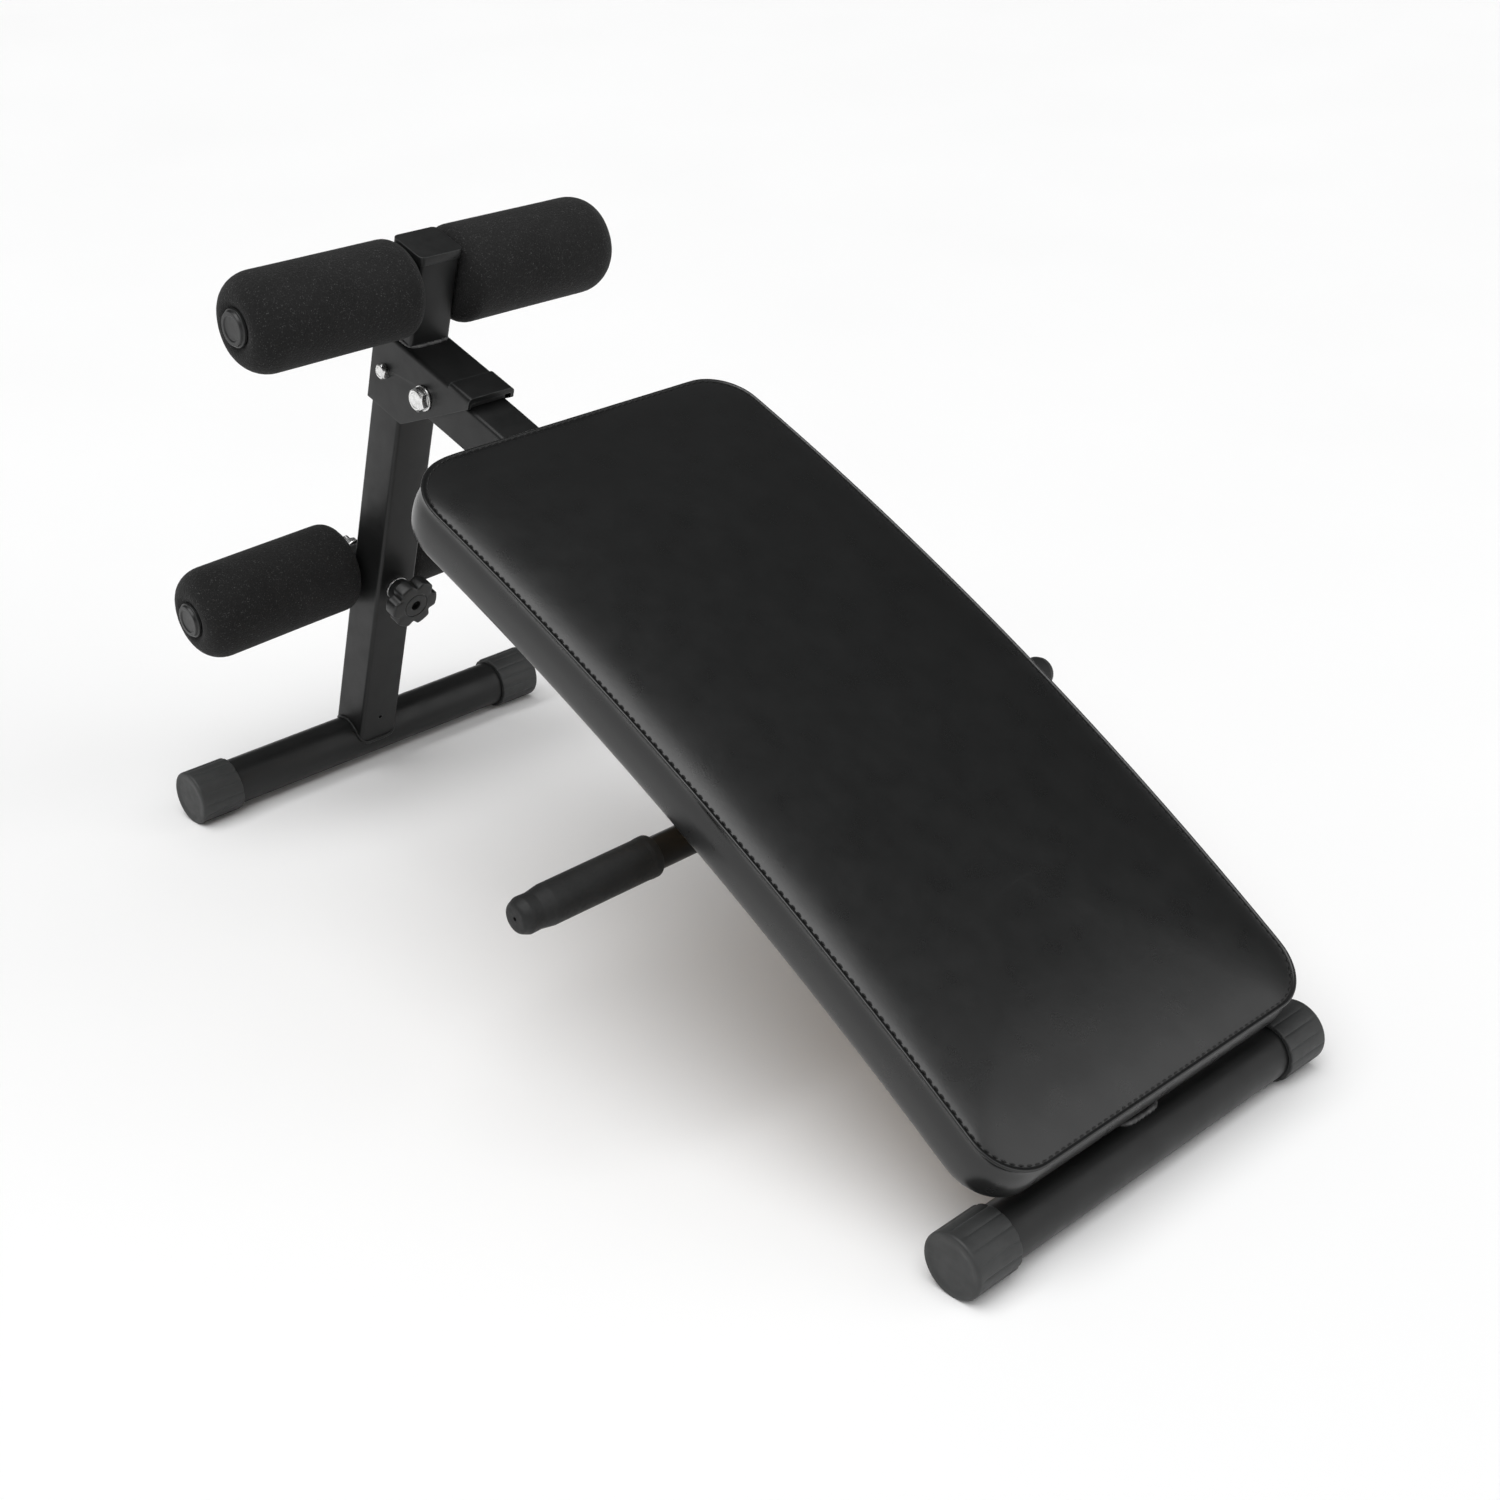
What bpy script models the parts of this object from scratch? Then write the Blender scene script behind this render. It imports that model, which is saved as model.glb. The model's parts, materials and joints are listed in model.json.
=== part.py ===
"""Decline sit up bench, modelled as separate pieces, in metres with +Z up.

The rear floor tube carries a leaning square post.  A folded sheet bracket on top of the post holds
the arched main beam on one pivot bolt, and a short stub on the bracket holds the upper foam rollers.
The beam carries the pad and the handle bar, and it ends on the front floor tube.

Three frames are used.  World: X runs from the rear tube to the front tube and Z=0 is the floor.
Post frame: z runs up the leaning post from the rear tube's axis and x runs forward, square to it.
Beam coordinates (s, y, h): s runs along the beam's top face from where its arch starts, h is the
height over that face.
"""
import math

import bmesh
import bpy
from mathutils import Matrix, Vector

# Floor tubes and caps
REAR_X = -0.461481
WHEELBASE = 0.922
FLOOR_AXIS_Z = 0.024
FLOOR_TUBE_R = 0.021
FLOOR_TUBE_WALL = 0.002
FLOOR_HALF = 0.1912
CAP_R = 0.0246
CAP_LENGTH = 0.042
CAP_END = 0.005

# Leaning post
LEAN = math.radians(18.7)
SQUARE = 0.040
SQUARE_WALL = 0.002
SQUARE_CORNER = 0.0035
POST_TOP = 0.4407
POST_FOOT = 0.0075

# Hinge bracket
SHEET = 0.003
BRACKET_REAR = -0.021
BRACKET_FRONT = 0.108
BRACKET_LOW = 0.373
BRACKET_TOP = 0.444
BRACKET_SLOPE_START = 0.027
BRACKET_LIP = 0.0075
BRACKET_BEND = 0.0045
BUMPER_FROM = 0.074
BUMPER_TO = 0.104
SIDE_BOLT_X = -0.002
SIDE_BOLT_Z = 0.4087
PIVOT_X = 0.052

# Roller stub and rollers
STUB_X = 0.00575
STUB_DEPTH = 0.0365
STUB_TOP = 0.524
STUB_CAP_TOP = 0.529
STUB_CAP_OVERHANG = 0.0014
BAR_R = 0.0125
BAR_WALL = 0.0015
ROLLER_BAR_HALF = 0.1770
FOAM_R = 0.0407
FOAM_BORE_R = 0.0129
FOAM_INNER_Y = {"upper": 0.0215, "lower": 0.0235}
FOAM_OUTER_Y = 0.1773
PLUG_R = 0.0155
PLUG_FACE_Y = 0.1822
UPPER_ROLLER_Z = 0.4927
LOWER_ROLLER_Z = 0.187
LOWER_TILT = math.radians(2.8)

# Clamp knob
KNOB_R = 0.0195
KNOB_LOBE = 0.0022
KNOB_LOBES = 6
KNOB_THICK = 0.015
KNOB_FRONT = 0.0500
KNOB_HUB_R = 0.011
KNOB_WASHER_R = 0.011
KNOB_WASHER_THICK = 0.0016
SCREW_R = 0.004
SCREW_TIP = -0.062

# Beam and pad
BEAM_ARC_X = 0.080
BEAM_TOP = 0.4342
BEAM_ARCH_R = 2.700
BEAM_START = -0.042
BEAM_STOP_BEFORE_TUBE = 0.012
PAD_START = 0.116
PAD_END = 0.797
PAD_WIDTH = 0.336
PAD_CORNER = 0.037
STRAP_THICK = 0.003
STRAP_WIDTH = 0.030
STRAP_HALF = 0.105
STRAP_STATIONS = (0.210, 0.660)
BOARD_THICK = 0.010
BOARD_INSET = 0.013
CUSHION_TOP = 0.0510
CUSHION_HEM = 0.0032
PAD_SCREW_Y = 0.080

# Handle
HANDLE_S = 0.4475
HANDLE_HALF = 0.272
GRIP_R = 0.0155
GRIP_LENGTH = 0.122
GRIP_END_Y = 0.277

GAP = 0.0003
ROUND = 32
SMALL_ROUND = 20

MODEL = None
CUTTERS = None


def clear_scene():
    for obj in list(bpy.data.objects):
        bpy.data.objects.remove(obj, do_unlink=True)


def make_collections():
    global MODEL, CUTTERS
    MODEL = bpy.data.collections.new("decline_sit_up_bench")
    CUTTERS = bpy.data.collections.new("cutters")
    bpy.context.scene.collection.children.link(MODEL)
    bpy.context.scene.collection.children.link(CUTTERS)


def material(name, rgb, roughness, metallic):
    found = bpy.data.materials.get(name)
    if found:
        return found
    made = bpy.data.materials.new(name)
    made.use_nodes = True
    shader = made.node_tree.nodes["Principled BSDF"]
    shader.inputs["Base Color"].default_value = (*rgb, 1.0)
    shader.inputs["Roughness"].default_value = roughness
    shader.inputs["Metallic"].default_value = metallic
    return made


def finish_for(kind):
    looks = {
        "powder_coat": ((0.030, 0.031, 0.033), 0.42, 0.0),
        "rubber": ((0.022, 0.022, 0.023), 0.75, 0.0),
        "plastic": ((0.028, 0.028, 0.029), 0.48, 0.0),
        "foam": ((0.016, 0.016, 0.016), 0.92, 0.0),
        "vinyl": ((0.026, 0.028, 0.028), 0.45, 0.0),
        "zinc": ((0.62, 0.62, 0.60), 0.30, 1.0),
        "plywood": ((0.45, 0.32, 0.19), 0.70, 0.0),
    }
    return material(kind, *looks[kind])


# Frames

def post_frame():
    return Matrix.Translation((REAR_X, 0.0, FLOOR_AXIS_Z)) @ Matrix.Rotation(LEAN, 4, "Y")


def at_post(x, y, z):
    return post_frame() @ Matrix.Translation((x, y, z))


def at_beam(s, y, h):
    """Frame on the arched beam: x along it, z square to its top face."""
    angle = max(s, 0.0) / BEAM_ARCH_R
    x, z = bend_point(s, h)
    return at_post(x, y, z) @ Matrix.Rotation(angle, 4, "Y")


def bend_point(s, h):
    """Beam coordinates to post frame x and z: straight up to s=0, then a constant arch."""
    if s <= 0.0:
        return BEAM_ARC_X + s, BEAM_TOP + h
    angle = s / BEAM_ARCH_R
    radius = BEAM_ARCH_R + h
    x = BEAM_ARC_X + radius * math.sin(angle)
    z = BEAM_TOP - BEAM_ARCH_R + radius * math.cos(angle)
    return x, z


def axis_out(side):
    """Turns local z to world Y on the right (+1) or to -Y on the left (-1)."""
    return Matrix.Rotation(-side * math.pi / 2, 4, "X")


AXIS_FORWARD = Matrix.Rotation(math.pi / 2, 4, "Y")


# Shape makers

def add_object(name, mesh, matrix, kind, cutter=False):
    obj = bpy.data.objects.new(name, mesh)
    obj.matrix_world = matrix
    if cutter:
        CUTTERS.objects.link(obj)
        obj.hide_render = True
        obj.display_type = "WIRE"
    else:
        MODEL.objects.link(obj)
        mesh.materials.append(finish_for(kind))
    return obj


def mesh_from(bm, name):
    bmesh.ops.recalc_face_normals(bm, faces=bm.faces)
    mesh = bpy.data.meshes.new(name)
    bm.to_mesh(mesh)
    bm.free()
    return mesh


def box_bmesh(lo, hi):
    bm = bmesh.new()
    bmesh.ops.create_cube(bm, size=1.0)
    for vert in bm.verts:
        for axis in range(3):
            middle = (lo[axis] + hi[axis]) / 2
            vert.co[axis] = middle + vert.co[axis] * (hi[axis] - lo[axis])
    return bm


def round_edges(bm, along, radius, segments):
    """Rounds the straight edges that run along one axis (0, 1 or 2)."""
    picked = []
    for edge in bm.edges:
        run = edge.verts[1].co - edge.verts[0].co
        if abs(run[along]) > 0.999 * run.length:
            picked.append(edge)
    bmesh.ops.bevel(bm, geom=picked, offset=radius, segments=segments, profile=0.5, affect="EDGES")


def box(name, lo, hi, matrix, kind, cutter=False, along=None, radius=0.0, segments=2):
    bm = box_bmesh(lo, hi)
    if along is not None:
        round_edges(bm, along, radius, segments)
    return add_object(name, mesh_from(bm, name), matrix, kind, cutter)


def bent_bar(name, s_range, y_range, h_range, kind, cutter=False, along=None, radius=0.0, segments=2):
    """A flat box in beam coordinates, cut into short stations and laid along the arch."""
    bm = box_bmesh((s_range[0], y_range[0], h_range[0]), (s_range[1], y_range[1], h_range[1]))
    if along is not None:
        round_edges(bm, along, radius, segments)
    step = 0.050
    station = max(0.0, math.floor(s_range[0] / step) * step)
    while station < s_range[1] - 0.004:
        if station > s_range[0] + 0.004:
            parts = bm.verts[:] + bm.edges[:] + bm.faces[:]
            bmesh.ops.bisect_plane(bm, geom=parts, dist=1e-6, plane_co=(station, 0, 0), plane_no=(1, 0, 0))
        station += step
    for vert in bm.verts:
        x, z = bend_point(vert.co.x, vert.co.z)
        vert.co = Vector((x, vert.co.y, z))
    return add_object(name, mesh_from(bm, name), post_frame(), kind, cutter)


def turned(name, profile, matrix, kind, steps=ROUND, cutter=False):
    """Spins a profile of (radius, z) points, run down its outer side, round the local z axis."""
    mesh = bpy.data.meshes.new(name)
    points = [(radius, 0.0, z) for radius, z in profile]
    edges = [(i, i + 1) for i in range(len(points) - 1)]
    if profile[0][0] > 0.0:
        edges.append((len(points) - 1, 0))
    mesh.from_pydata(points, edges, [])
    obj = add_object(name, mesh, matrix, kind, cutter)
    screw = obj.modifiers.new("Turn", "SCREW")
    screw.axis = "Z"
    screw.angle = 2 * math.pi
    screw.steps = steps
    screw.render_steps = steps
    screw.use_merge_vertices = True
    screw.merge_threshold = 1e-5
    screw.use_smooth_shade = True
    return obj


def rod_profile(radius, z0, z1):
    return [(0.0, z1), (radius, z1), (radius, z0), (0.0, z0)]


def ring_profile(r_out, r_in, z0, z1):
    return [(r_out, z1), (r_out, z0), (r_in, z0), (r_in, z1)]


def modify(obj, other, operation):
    step = obj.modifiers.new(operation.title(), "BOOLEAN")
    step.operation = operation
    step.solver = "EXACT"
    step.object = other
    return obj


def hole(obj, name, radius, z0, z1, matrix, steps=SMALL_ROUND):
    cutter = turned(name, rod_profile(radius, z0, z1), matrix, None, steps, cutter=True)
    return modify(obj, cutter, "DIFFERENCE")


def hex_prism(name, across_flats, z0, z1, matrix, kind, cutter=False):
    bm = bmesh.new()
    corner = across_flats / math.sqrt(3)
    place = Matrix.Translation((0, 0, (z0 + z1) / 2))
    bmesh.ops.create_cone(bm, cap_ends=True, segments=6, radius1=corner, radius2=corner,
                          depth=z1 - z0, matrix=place)
    return add_object(name, mesh_from(bm, name), matrix, kind, cutter)


def hex_bolt(name, radius, head_af, head_h, length, matrix):
    """Head on local z 0..head_h, shank down to -length."""
    bolt = hex_prism(name, head_af, 0.0, head_h, matrix, "zinc")
    shank = turned(name + "_shank", rod_profile(radius, -length, head_h / 2), matrix, None, 20, cutter=True)
    return modify(bolt, shank, "UNION")


def hex_nut(name, bore, across_flats, thick, matrix):
    nut = hex_prism(name, across_flats, 0.0, thick, matrix, "zinc")
    return hole(nut, name + "_bore", bore, -0.002, thick + 0.002, matrix, 20)


def washer(name, r_out, r_in, thick, matrix):
    return turned(name, ring_profile(r_out, r_in, 0.0, thick), matrix, "zinc", SMALL_ROUND)


# Floor tubes

def floor_tube(name, x):
    tube_half = FLOOR_HALF - CAP_END - GAP
    profile = ring_profile(FLOOR_TUBE_R, FLOOR_TUBE_R - FLOOR_TUBE_WALL, -tube_half, tube_half)
    place = Matrix.Translation((x, 0, FLOOR_AXIS_Z)) @ axis_out(1)
    return turned(name, profile, place, "powder_coat")


def floor_cap(name, x, side):
    """Slip-over end cap with a flat foot along its underside."""
    edge = 0.0018
    inner = FLOOR_TUBE_R + GAP
    profile = [(0.0, 0.0), (CAP_R - edge, 0.0), (CAP_R, -edge), (CAP_R, -CAP_LENGTH),
               (inner, -CAP_LENGTH), (inner, -CAP_END), (0.0, -CAP_END)]
    place = Matrix.Translation((x, side * FLOOR_HALF, FLOOR_AXIS_Z)) @ axis_out(side)
    cap = turned(name, profile, place, "rubber")
    y_in, y_out = sorted((side * (FLOOR_HALF - CAP_LENGTH - 0.01), side * (FLOOR_HALF + 0.01)))
    floor = box(name + "_floor", (x - 0.04, y_in, -0.02), (x + 0.04, y_out, 0.0),
                Matrix.Identity(4), None, cutter=True)
    return modify(cap, floor, "DIFFERENCE")


# Post, bracket and stub

def square_hollow(obj, name, half, z0, z1, matrix):
    inner = half - SQUARE_WALL
    core = box(name, (-inner, -inner, z0), (inner, inner, z1), matrix, None, cutter=True,
               along=2, radius=SQUARE_CORNER - SQUARE_WALL, segments=1)
    return modify(obj, core, "DIFFERENCE")


def upright_post():
    half = SQUARE / 2
    frame = post_frame()
    post = box("upright_post", (-half, -half, POST_FOOT), (half, half, POST_TOP), frame, "powder_coat",
               along=2, radius=SQUARE_CORNER, segments=3)
    square_hollow(post, "post_core", half, -0.02, POST_TOP + 0.02, frame)
    saddle = post_frame() @ axis_out(1)
    hole(post, "post_fish_mouth", FLOOR_TUBE_R + GAP, -0.06, 0.06, saddle, ROUND)
    hole(post, "post_side_hole", 0.0043, -0.03, 0.03, at_post(SIDE_BOLT_X, 0, SIDE_BOLT_Z) @ axis_out(1))
    hole(post, "post_screw_hole", 0.0045, -0.03, 0.03, at_post(0, 0, LOWER_ROLLER_Z) @ AXIS_FORWARD)
    return post


def pivot_z():
    return BEAM_TOP - SQUARE / 2


def hinge_bracket():
    """Inverted U of sheet: two cheeks over the post and a plate that reaches over the beam."""
    outer = SQUARE / 2 + GAP + SHEET
    inner = SQUARE / 2 + GAP
    frame = post_frame()
    lo = (BRACKET_REAR, -outer, BRACKET_LOW)
    hi = (BRACKET_FRONT, outer, BRACKET_TOP)
    bm = box_bmesh(lo, hi)
    top_edges = [e for e in bm.edges
                 if all(v.co.z > BRACKET_TOP - 1e-4 for v in e.verts)
                 and abs(e.verts[0].co.y - e.verts[1].co.y) < 1e-6]
    bmesh.ops.bevel(bm, geom=top_edges, offset=BRACKET_BEND, segments=3, profile=0.5, affect="EDGES")
    bracket = add_object("hinge_bracket", mesh_from(bm, "hinge_bracket"), frame, "powder_coat")
    inside = box("bracket_inside", (BRACKET_REAR - 0.01, -inner, BRACKET_LOW - 0.01),
                 (BRACKET_FRONT + 0.01, inner, BRACKET_TOP - SHEET), frame, None, cutter=True)
    modify(bracket, inside, "DIFFERENCE")
    modify(bracket, bracket_slope_cutter(frame), "DIFFERENCE")
    hole(bracket, "bracket_side_hole", 0.0043, -0.03, 0.03,
         at_post(SIDE_BOLT_X, 0, SIDE_BOLT_Z) @ axis_out(1))
    hole(bracket, "bracket_pivot_hole", 0.0053, -0.03, 0.03, at_post(PIVOT_X, 0, pivot_z()) @ axis_out(1))
    return bracket


def bracket_slope_cutter(frame):
    """Wedge under the cheeks' sloping front edge."""
    rise = BRACKET_TOP - BRACKET_LIP - BRACKET_LOW
    run = BRACKET_FRONT - BRACKET_SLOPE_START
    angle = math.atan2(rise, run)
    length = 0.200
    place = frame @ Matrix.Translation((BRACKET_SLOPE_START, 0, BRACKET_LOW)) @ Matrix.Rotation(-angle, 4, "Y")
    return box("bracket_slope", (-length, -0.05, -0.100), (length, 0.05, 0.0), place, None, cutter=True)


def stop_bumper():
    """Rubber block under the bracket's plate: the beam's top face rests on it when unfolded."""
    half = SQUARE / 2 - 0.002
    return box("stop_bumper", (BUMPER_FROM, -half, BEAM_TOP + GAP), (BUMPER_TO, half, BRACKET_TOP - SHEET - GAP),
               post_frame(), "rubber")


def side_bolt():
    outer = SQUARE / 2 + GAP + SHEET + GAP
    left = at_post(SIDE_BOLT_X, -outer, SIDE_BOLT_Z) @ axis_out(-1)
    right = at_post(SIDE_BOLT_X, outer, SIDE_BOLT_Z) @ axis_out(1)
    hex_bolt("bracket_bolt", 0.004, 0.012, 0.005, 2 * outer + 0.010, left)
    hex_nut("bracket_nut", 0.0043, 0.013, 0.0065, right)


def pivot_set():
    outer = SQUARE / 2 + GAP + SHEET + GAP
    thick = 0.0018
    left = at_post(PIVOT_X, -outer, pivot_z()) @ axis_out(-1)
    right = at_post(PIVOT_X, outer, pivot_z()) @ axis_out(1)
    over_washer = Matrix.Translation((0, 0, thick + GAP))
    washer("pivot_washer_left", 0.0110, 0.0053, thick, left)
    washer("pivot_washer_right", 0.0110, 0.0053, thick, right)
    hex_bolt("pivot_bolt", 0.005, 0.0185, 0.0065, 2 * (outer + thick) + 0.013, left @ over_washer)
    hex_nut("pivot_nut", 0.0053, 0.017, 0.0095, right @ over_washer)
    half = SQUARE / 2 + GAP / 2
    turned("pivot_bushing", ring_profile(0.0067, 0.0053, -half, half),
           at_post(PIVOT_X, 0, pivot_z()) @ axis_out(1), "plastic", SMALL_ROUND)


def roller_post():
    """Short stub on the bracket's plate, with a cross hole for the upper roller bar."""
    half_x, half_y = STUB_DEPTH / 2, SQUARE / 2
    base = BRACKET_TOP + GAP
    frame = at_post(STUB_X, 0, 0)
    stub = box("roller_post", (-half_x, -half_y, base), (half_x, half_y, STUB_TOP), frame, "powder_coat",
               along=2, radius=SQUARE_CORNER, segments=3)
    in_x, in_y = half_x - SQUARE_WALL, half_y - SQUARE_WALL
    core = box("stub_core", (-in_x, -in_y, base - 0.01), (in_x, in_y, STUB_TOP + 0.01), frame, None,
               cutter=True, along=2, radius=SQUARE_CORNER - SQUARE_WALL, segments=1)
    modify(stub, core, "DIFFERENCE")
    hole(stub, "stub_bar_hole", BAR_R + GAP, -0.03, 0.03, at_post(STUB_X, 0, UPPER_ROLLER_Z) @ axis_out(1),
         ROUND)
    return stub


def roller_post_cap():
    """Plastic cap: a lid over the stub's end with a short plug inside it."""
    over = STUB_CAP_OVERHANG
    half_x, half_y = STUB_DEPTH / 2 + over, SQUARE / 2 + over
    frame = at_post(STUB_X, 0, 0)
    bm = box_bmesh((-half_x, -half_y, STUB_TOP + GAP), (half_x, half_y, STUB_CAP_TOP))
    round_edges(bm, 2, SQUARE_CORNER + over, 3)
    lid = add_object("roller_post_cap", mesh_from(bm, "roller_post_cap"), frame, "plastic")
    soft = lid.modifiers.new("Edge", "BEVEL")
    soft.width = 0.0012
    soft.segments = 2
    soft.limit_method = "ANGLE"
    soft.angle_limit = math.radians(60)
    in_x = STUB_DEPTH / 2 - SQUARE_WALL - GAP
    in_y = SQUARE / 2 - SQUARE_WALL - GAP
    plug = box("stub_plug", (-in_x, -in_y, STUB_TOP - 0.012), (in_x, in_y, STUB_TOP + 0.002), frame, None,
               cutter=True, along=2, radius=0.0015, segments=1)
    return modify(lid, plug, "UNION")


# Rollers

def roller(level, centre):
    """A cross bar with a foam sleeve and an end plug on each side."""
    bar = turned(level + "_roller_bar", ring_profile(BAR_R, BAR_R - BAR_WALL, -ROLLER_BAR_HALF, ROLLER_BAR_HALF),
                 centre @ axis_out(1), "powder_coat")
    for side, word in ((-1, "left"), (1, "right")):
        foam_sleeve(level + "_foam_" + word, centre @ axis_out(side), FOAM_INNER_Y[level])
        end_plug(level + "_end_plug_" + word, centre @ axis_out(side))
    return bar


def foam_sleeve(name, place, inner):
    edge = 0.003
    profile = [(FOAM_R - edge, FOAM_OUTER_Y), (FOAM_R, FOAM_OUTER_Y - edge), (FOAM_R, inner + edge),
               (FOAM_R - edge, inner), (FOAM_BORE_R, inner), (FOAM_BORE_R, FOAM_OUTER_Y)]
    return turned(name, profile, place, "foam")


def end_plug(name, place):
    """Flanged plug pushed into the bar's end; its flange keeps the foam on."""
    stem_r = BAR_R - BAR_WALL - GAP
    under = FOAM_OUTER_Y + GAP
    edge = 0.0012
    profile = [(0.0, PLUG_FACE_Y), (PLUG_R - edge, PLUG_FACE_Y), (PLUG_R, PLUG_FACE_Y - edge), (PLUG_R, under),
               (stem_r, under), (stem_r, FOAM_OUTER_Y - 0.022), (0.0, FOAM_OUTER_Y - 0.022)]
    return turned(name, profile, place, "plastic", SMALL_ROUND)


# Clamp knob

def lower_bar_x():
    return -(SQUARE / 2 + GAP + BAR_R)


def lower_centre():
    """The lower bar hangs on one screw, and sits turned a little about it: its left end is the lower."""
    return at_post(lower_bar_x(), 0, LOWER_ROLLER_Z) @ Matrix.Rotation(LOWER_TILT, 4, "X")


def clamp_set():
    """A long knob screw through the post and the lower bar, with a nut behind the bar."""
    place = at_post(0, 0, LOWER_ROLLER_Z) @ AXIS_FORWARD
    face = SQUARE / 2 + GAP
    knob_back = face + KNOB_WASHER_THICK + GAP
    washer("knob_washer", KNOB_WASHER_R, SCREW_R + GAP, KNOB_WASHER_THICK, place @ Matrix.Translation((0, 0, face)))
    clamp_knob(place, knob_back)
    rear = lower_bar_x() - BAR_R - GAP
    behind = place @ Matrix.Translation((0, 0, rear)) @ Matrix.Rotation(math.pi, 4, "X")
    washer("lock_washer", 0.0085, SCREW_R + GAP, 0.0015, behind)
    hex_nut("lock_nut", SCREW_R + GAP, 0.013, 0.0065, behind @ Matrix.Translation((0, 0, 0.0015 + GAP)))


def clamp_knob(place, knob_back):
    bm = bmesh.new()
    head_low = KNOB_FRONT - KNOB_THICK
    middle = Matrix.Translation((0, 0, (head_low + KNOB_FRONT) / 2))
    bmesh.ops.create_cone(bm, cap_ends=True, segments=36, radius1=KNOB_R, radius2=KNOB_R,
                          depth=KNOB_THICK, matrix=middle)
    for vert in bm.verts:
        turn = math.atan2(vert.co.y, vert.co.x)
        reach = KNOB_R + KNOB_LOBE * math.cos(KNOB_LOBES * turn)
        vert.co.x = reach * math.cos(turn)
        vert.co.y = reach * math.sin(turn)
    knob = add_object("knob", mesh_from(bm, "knob"), place, "plastic")
    soft = knob.modifiers.new("Edge", "BEVEL")
    soft.width = 0.0015
    soft.segments = 1
    soft.limit_method = "ANGLE"
    soft.angle_limit = math.radians(60)
    hub = turned("knob_hub", rod_profile(KNOB_HUB_R, knob_back, KNOB_FRONT - 0.004), place, None,
                 SMALL_ROUND, cutter=True)
    modify(knob, hub, "UNION")
    hole(knob, "knob_screw_seat", SCREW_R + GAP, knob_back - 0.002, KNOB_FRONT - 0.005, place)
    socket = hex_prism("knob_socket", 0.009, KNOB_FRONT - 0.003, KNOB_FRONT + 0.002, place, None, cutter=True)
    modify(knob, socket, "DIFFERENCE")
    turned("knob_screw", rod_profile(SCREW_R, SCREW_TIP, KNOB_FRONT - 0.005 - GAP), place, "zinc", 20)


# Beam, front tube and handle

def front_tube_place():
    """Post-frame position of the front tube's axis."""
    return WHEELBASE * math.cos(LEAN), WHEELBASE * math.sin(LEAN)


def beam_end():
    """Arc length along the top face at which the beam stops, just short of the front tube's axis."""
    x, z = front_tube_place()
    angle = math.atan2(x - BEAM_ARC_X, z - (BEAM_TOP - BEAM_ARCH_R))
    return angle * BEAM_ARCH_R - BEAM_STOP_BEFORE_TUBE


def main_beam():
    half = SQUARE / 2
    stop = beam_end()
    beam = bent_bar("main_beam", (BEAM_START, stop), (-half, half), (-SQUARE, 0.0), "powder_coat",
                    along=0, radius=SQUARE_CORNER, segments=3)
    inner = half - SQUARE_WALL
    core = bent_bar("beam_core", (BEAM_START - 0.02, stop + 0.03), (-inner, inner),
                    (-SQUARE + SQUARE_WALL, -SQUARE_WALL), None, cutter=True,
                    along=0, radius=SQUARE_CORNER - SQUARE_WALL, segments=1)
    modify(beam, core, "DIFFERENCE")
    x, z = front_tube_place()
    hole(beam, "beam_fish_mouth", FLOOR_TUBE_R + GAP, -0.06, 0.06, at_post(x, 0, z) @ axis_out(1), ROUND)
    hole(beam, "beam_pivot_hole", 0.0070, -0.03, 0.03, at_post(PIVOT_X, 0, pivot_z()) @ axis_out(1))
    return beam


def beam_end_plug():
    """Square plastic plug in the beam's rear end."""
    half = SQUARE / 2 - 0.0006
    flange = 0.0022
    inner = SQUARE / 2 - SQUARE_WALL - GAP
    frame = at_post(BEAM_ARC_X + BEAM_START, 0, pivot_z())
    plug = box("beam_end_plug", (-flange - GAP, -half, -half), (-GAP, half, half), frame, "plastic",
               along=0, radius=SQUARE_CORNER, segments=3)
    tail = box("beam_plug_tail", (-flange / 2, -inner, -inner), (0.0055, inner, inner), frame, None,
               cutter=True, along=0, radius=0.0015, segments=1)
    return modify(plug, tail, "UNION")


def handle():
    place = at_beam(HANDLE_S, 0, -SQUARE - GAP - BAR_R)
    turned("handle_bar", ring_profile(BAR_R, BAR_R - BAR_WALL, -HANDLE_HALF, HANDLE_HALF),
           place @ axis_out(1), "powder_coat")
    for side, word in ((-1, "left"), (1, "right")):
        handle_grip("grip_" + word, place @ axis_out(side))


def handle_grip(name, place):
    """Closed-end rubber grip with a bead at its inner end and a rounded tip."""
    bore = BAR_R + GAP
    inner = GRIP_END_Y - GRIP_LENGTH
    bead = 0.006
    profile = [(0.0, GRIP_END_Y), (0.009, GRIP_END_Y), (0.0125, GRIP_END_Y - 0.003),
               (GRIP_R, GRIP_END_Y - 0.016), (GRIP_R, inner + 1.6 * bead), (GRIP_R + 0.0012, inner + bead),
               (GRIP_R + 0.0012, inner + 0.001), (GRIP_R, inner), (bore, inner),
               (bore, HANDLE_HALF + GAP), (0.0, HANDLE_HALF + GAP)]
    return turned(name, profile, place, "rubber")


# Pad

def pad_mounting():
    """Two cross straps on the beam, each with two screws up into the board."""
    for s, word in zip(STRAP_STATIONS, ("rear", "front")):
        strap = bent_bar("pad_strap_" + word, (s - STRAP_WIDTH / 2, s + STRAP_WIDTH / 2),
                         (-STRAP_HALF, STRAP_HALF), (GAP, GAP + STRAP_THICK), "powder_coat")
        for side, hand in ((-1, "left"), (1, "right")):
            place = at_beam(s, side * PAD_SCREW_Y, 0)
            hole(strap, "strap_hole_" + word + "_" + hand, 0.0034, -0.01, 0.02, place)
            pad_screw("pad_screw_" + word + "_" + hand, place)


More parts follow.
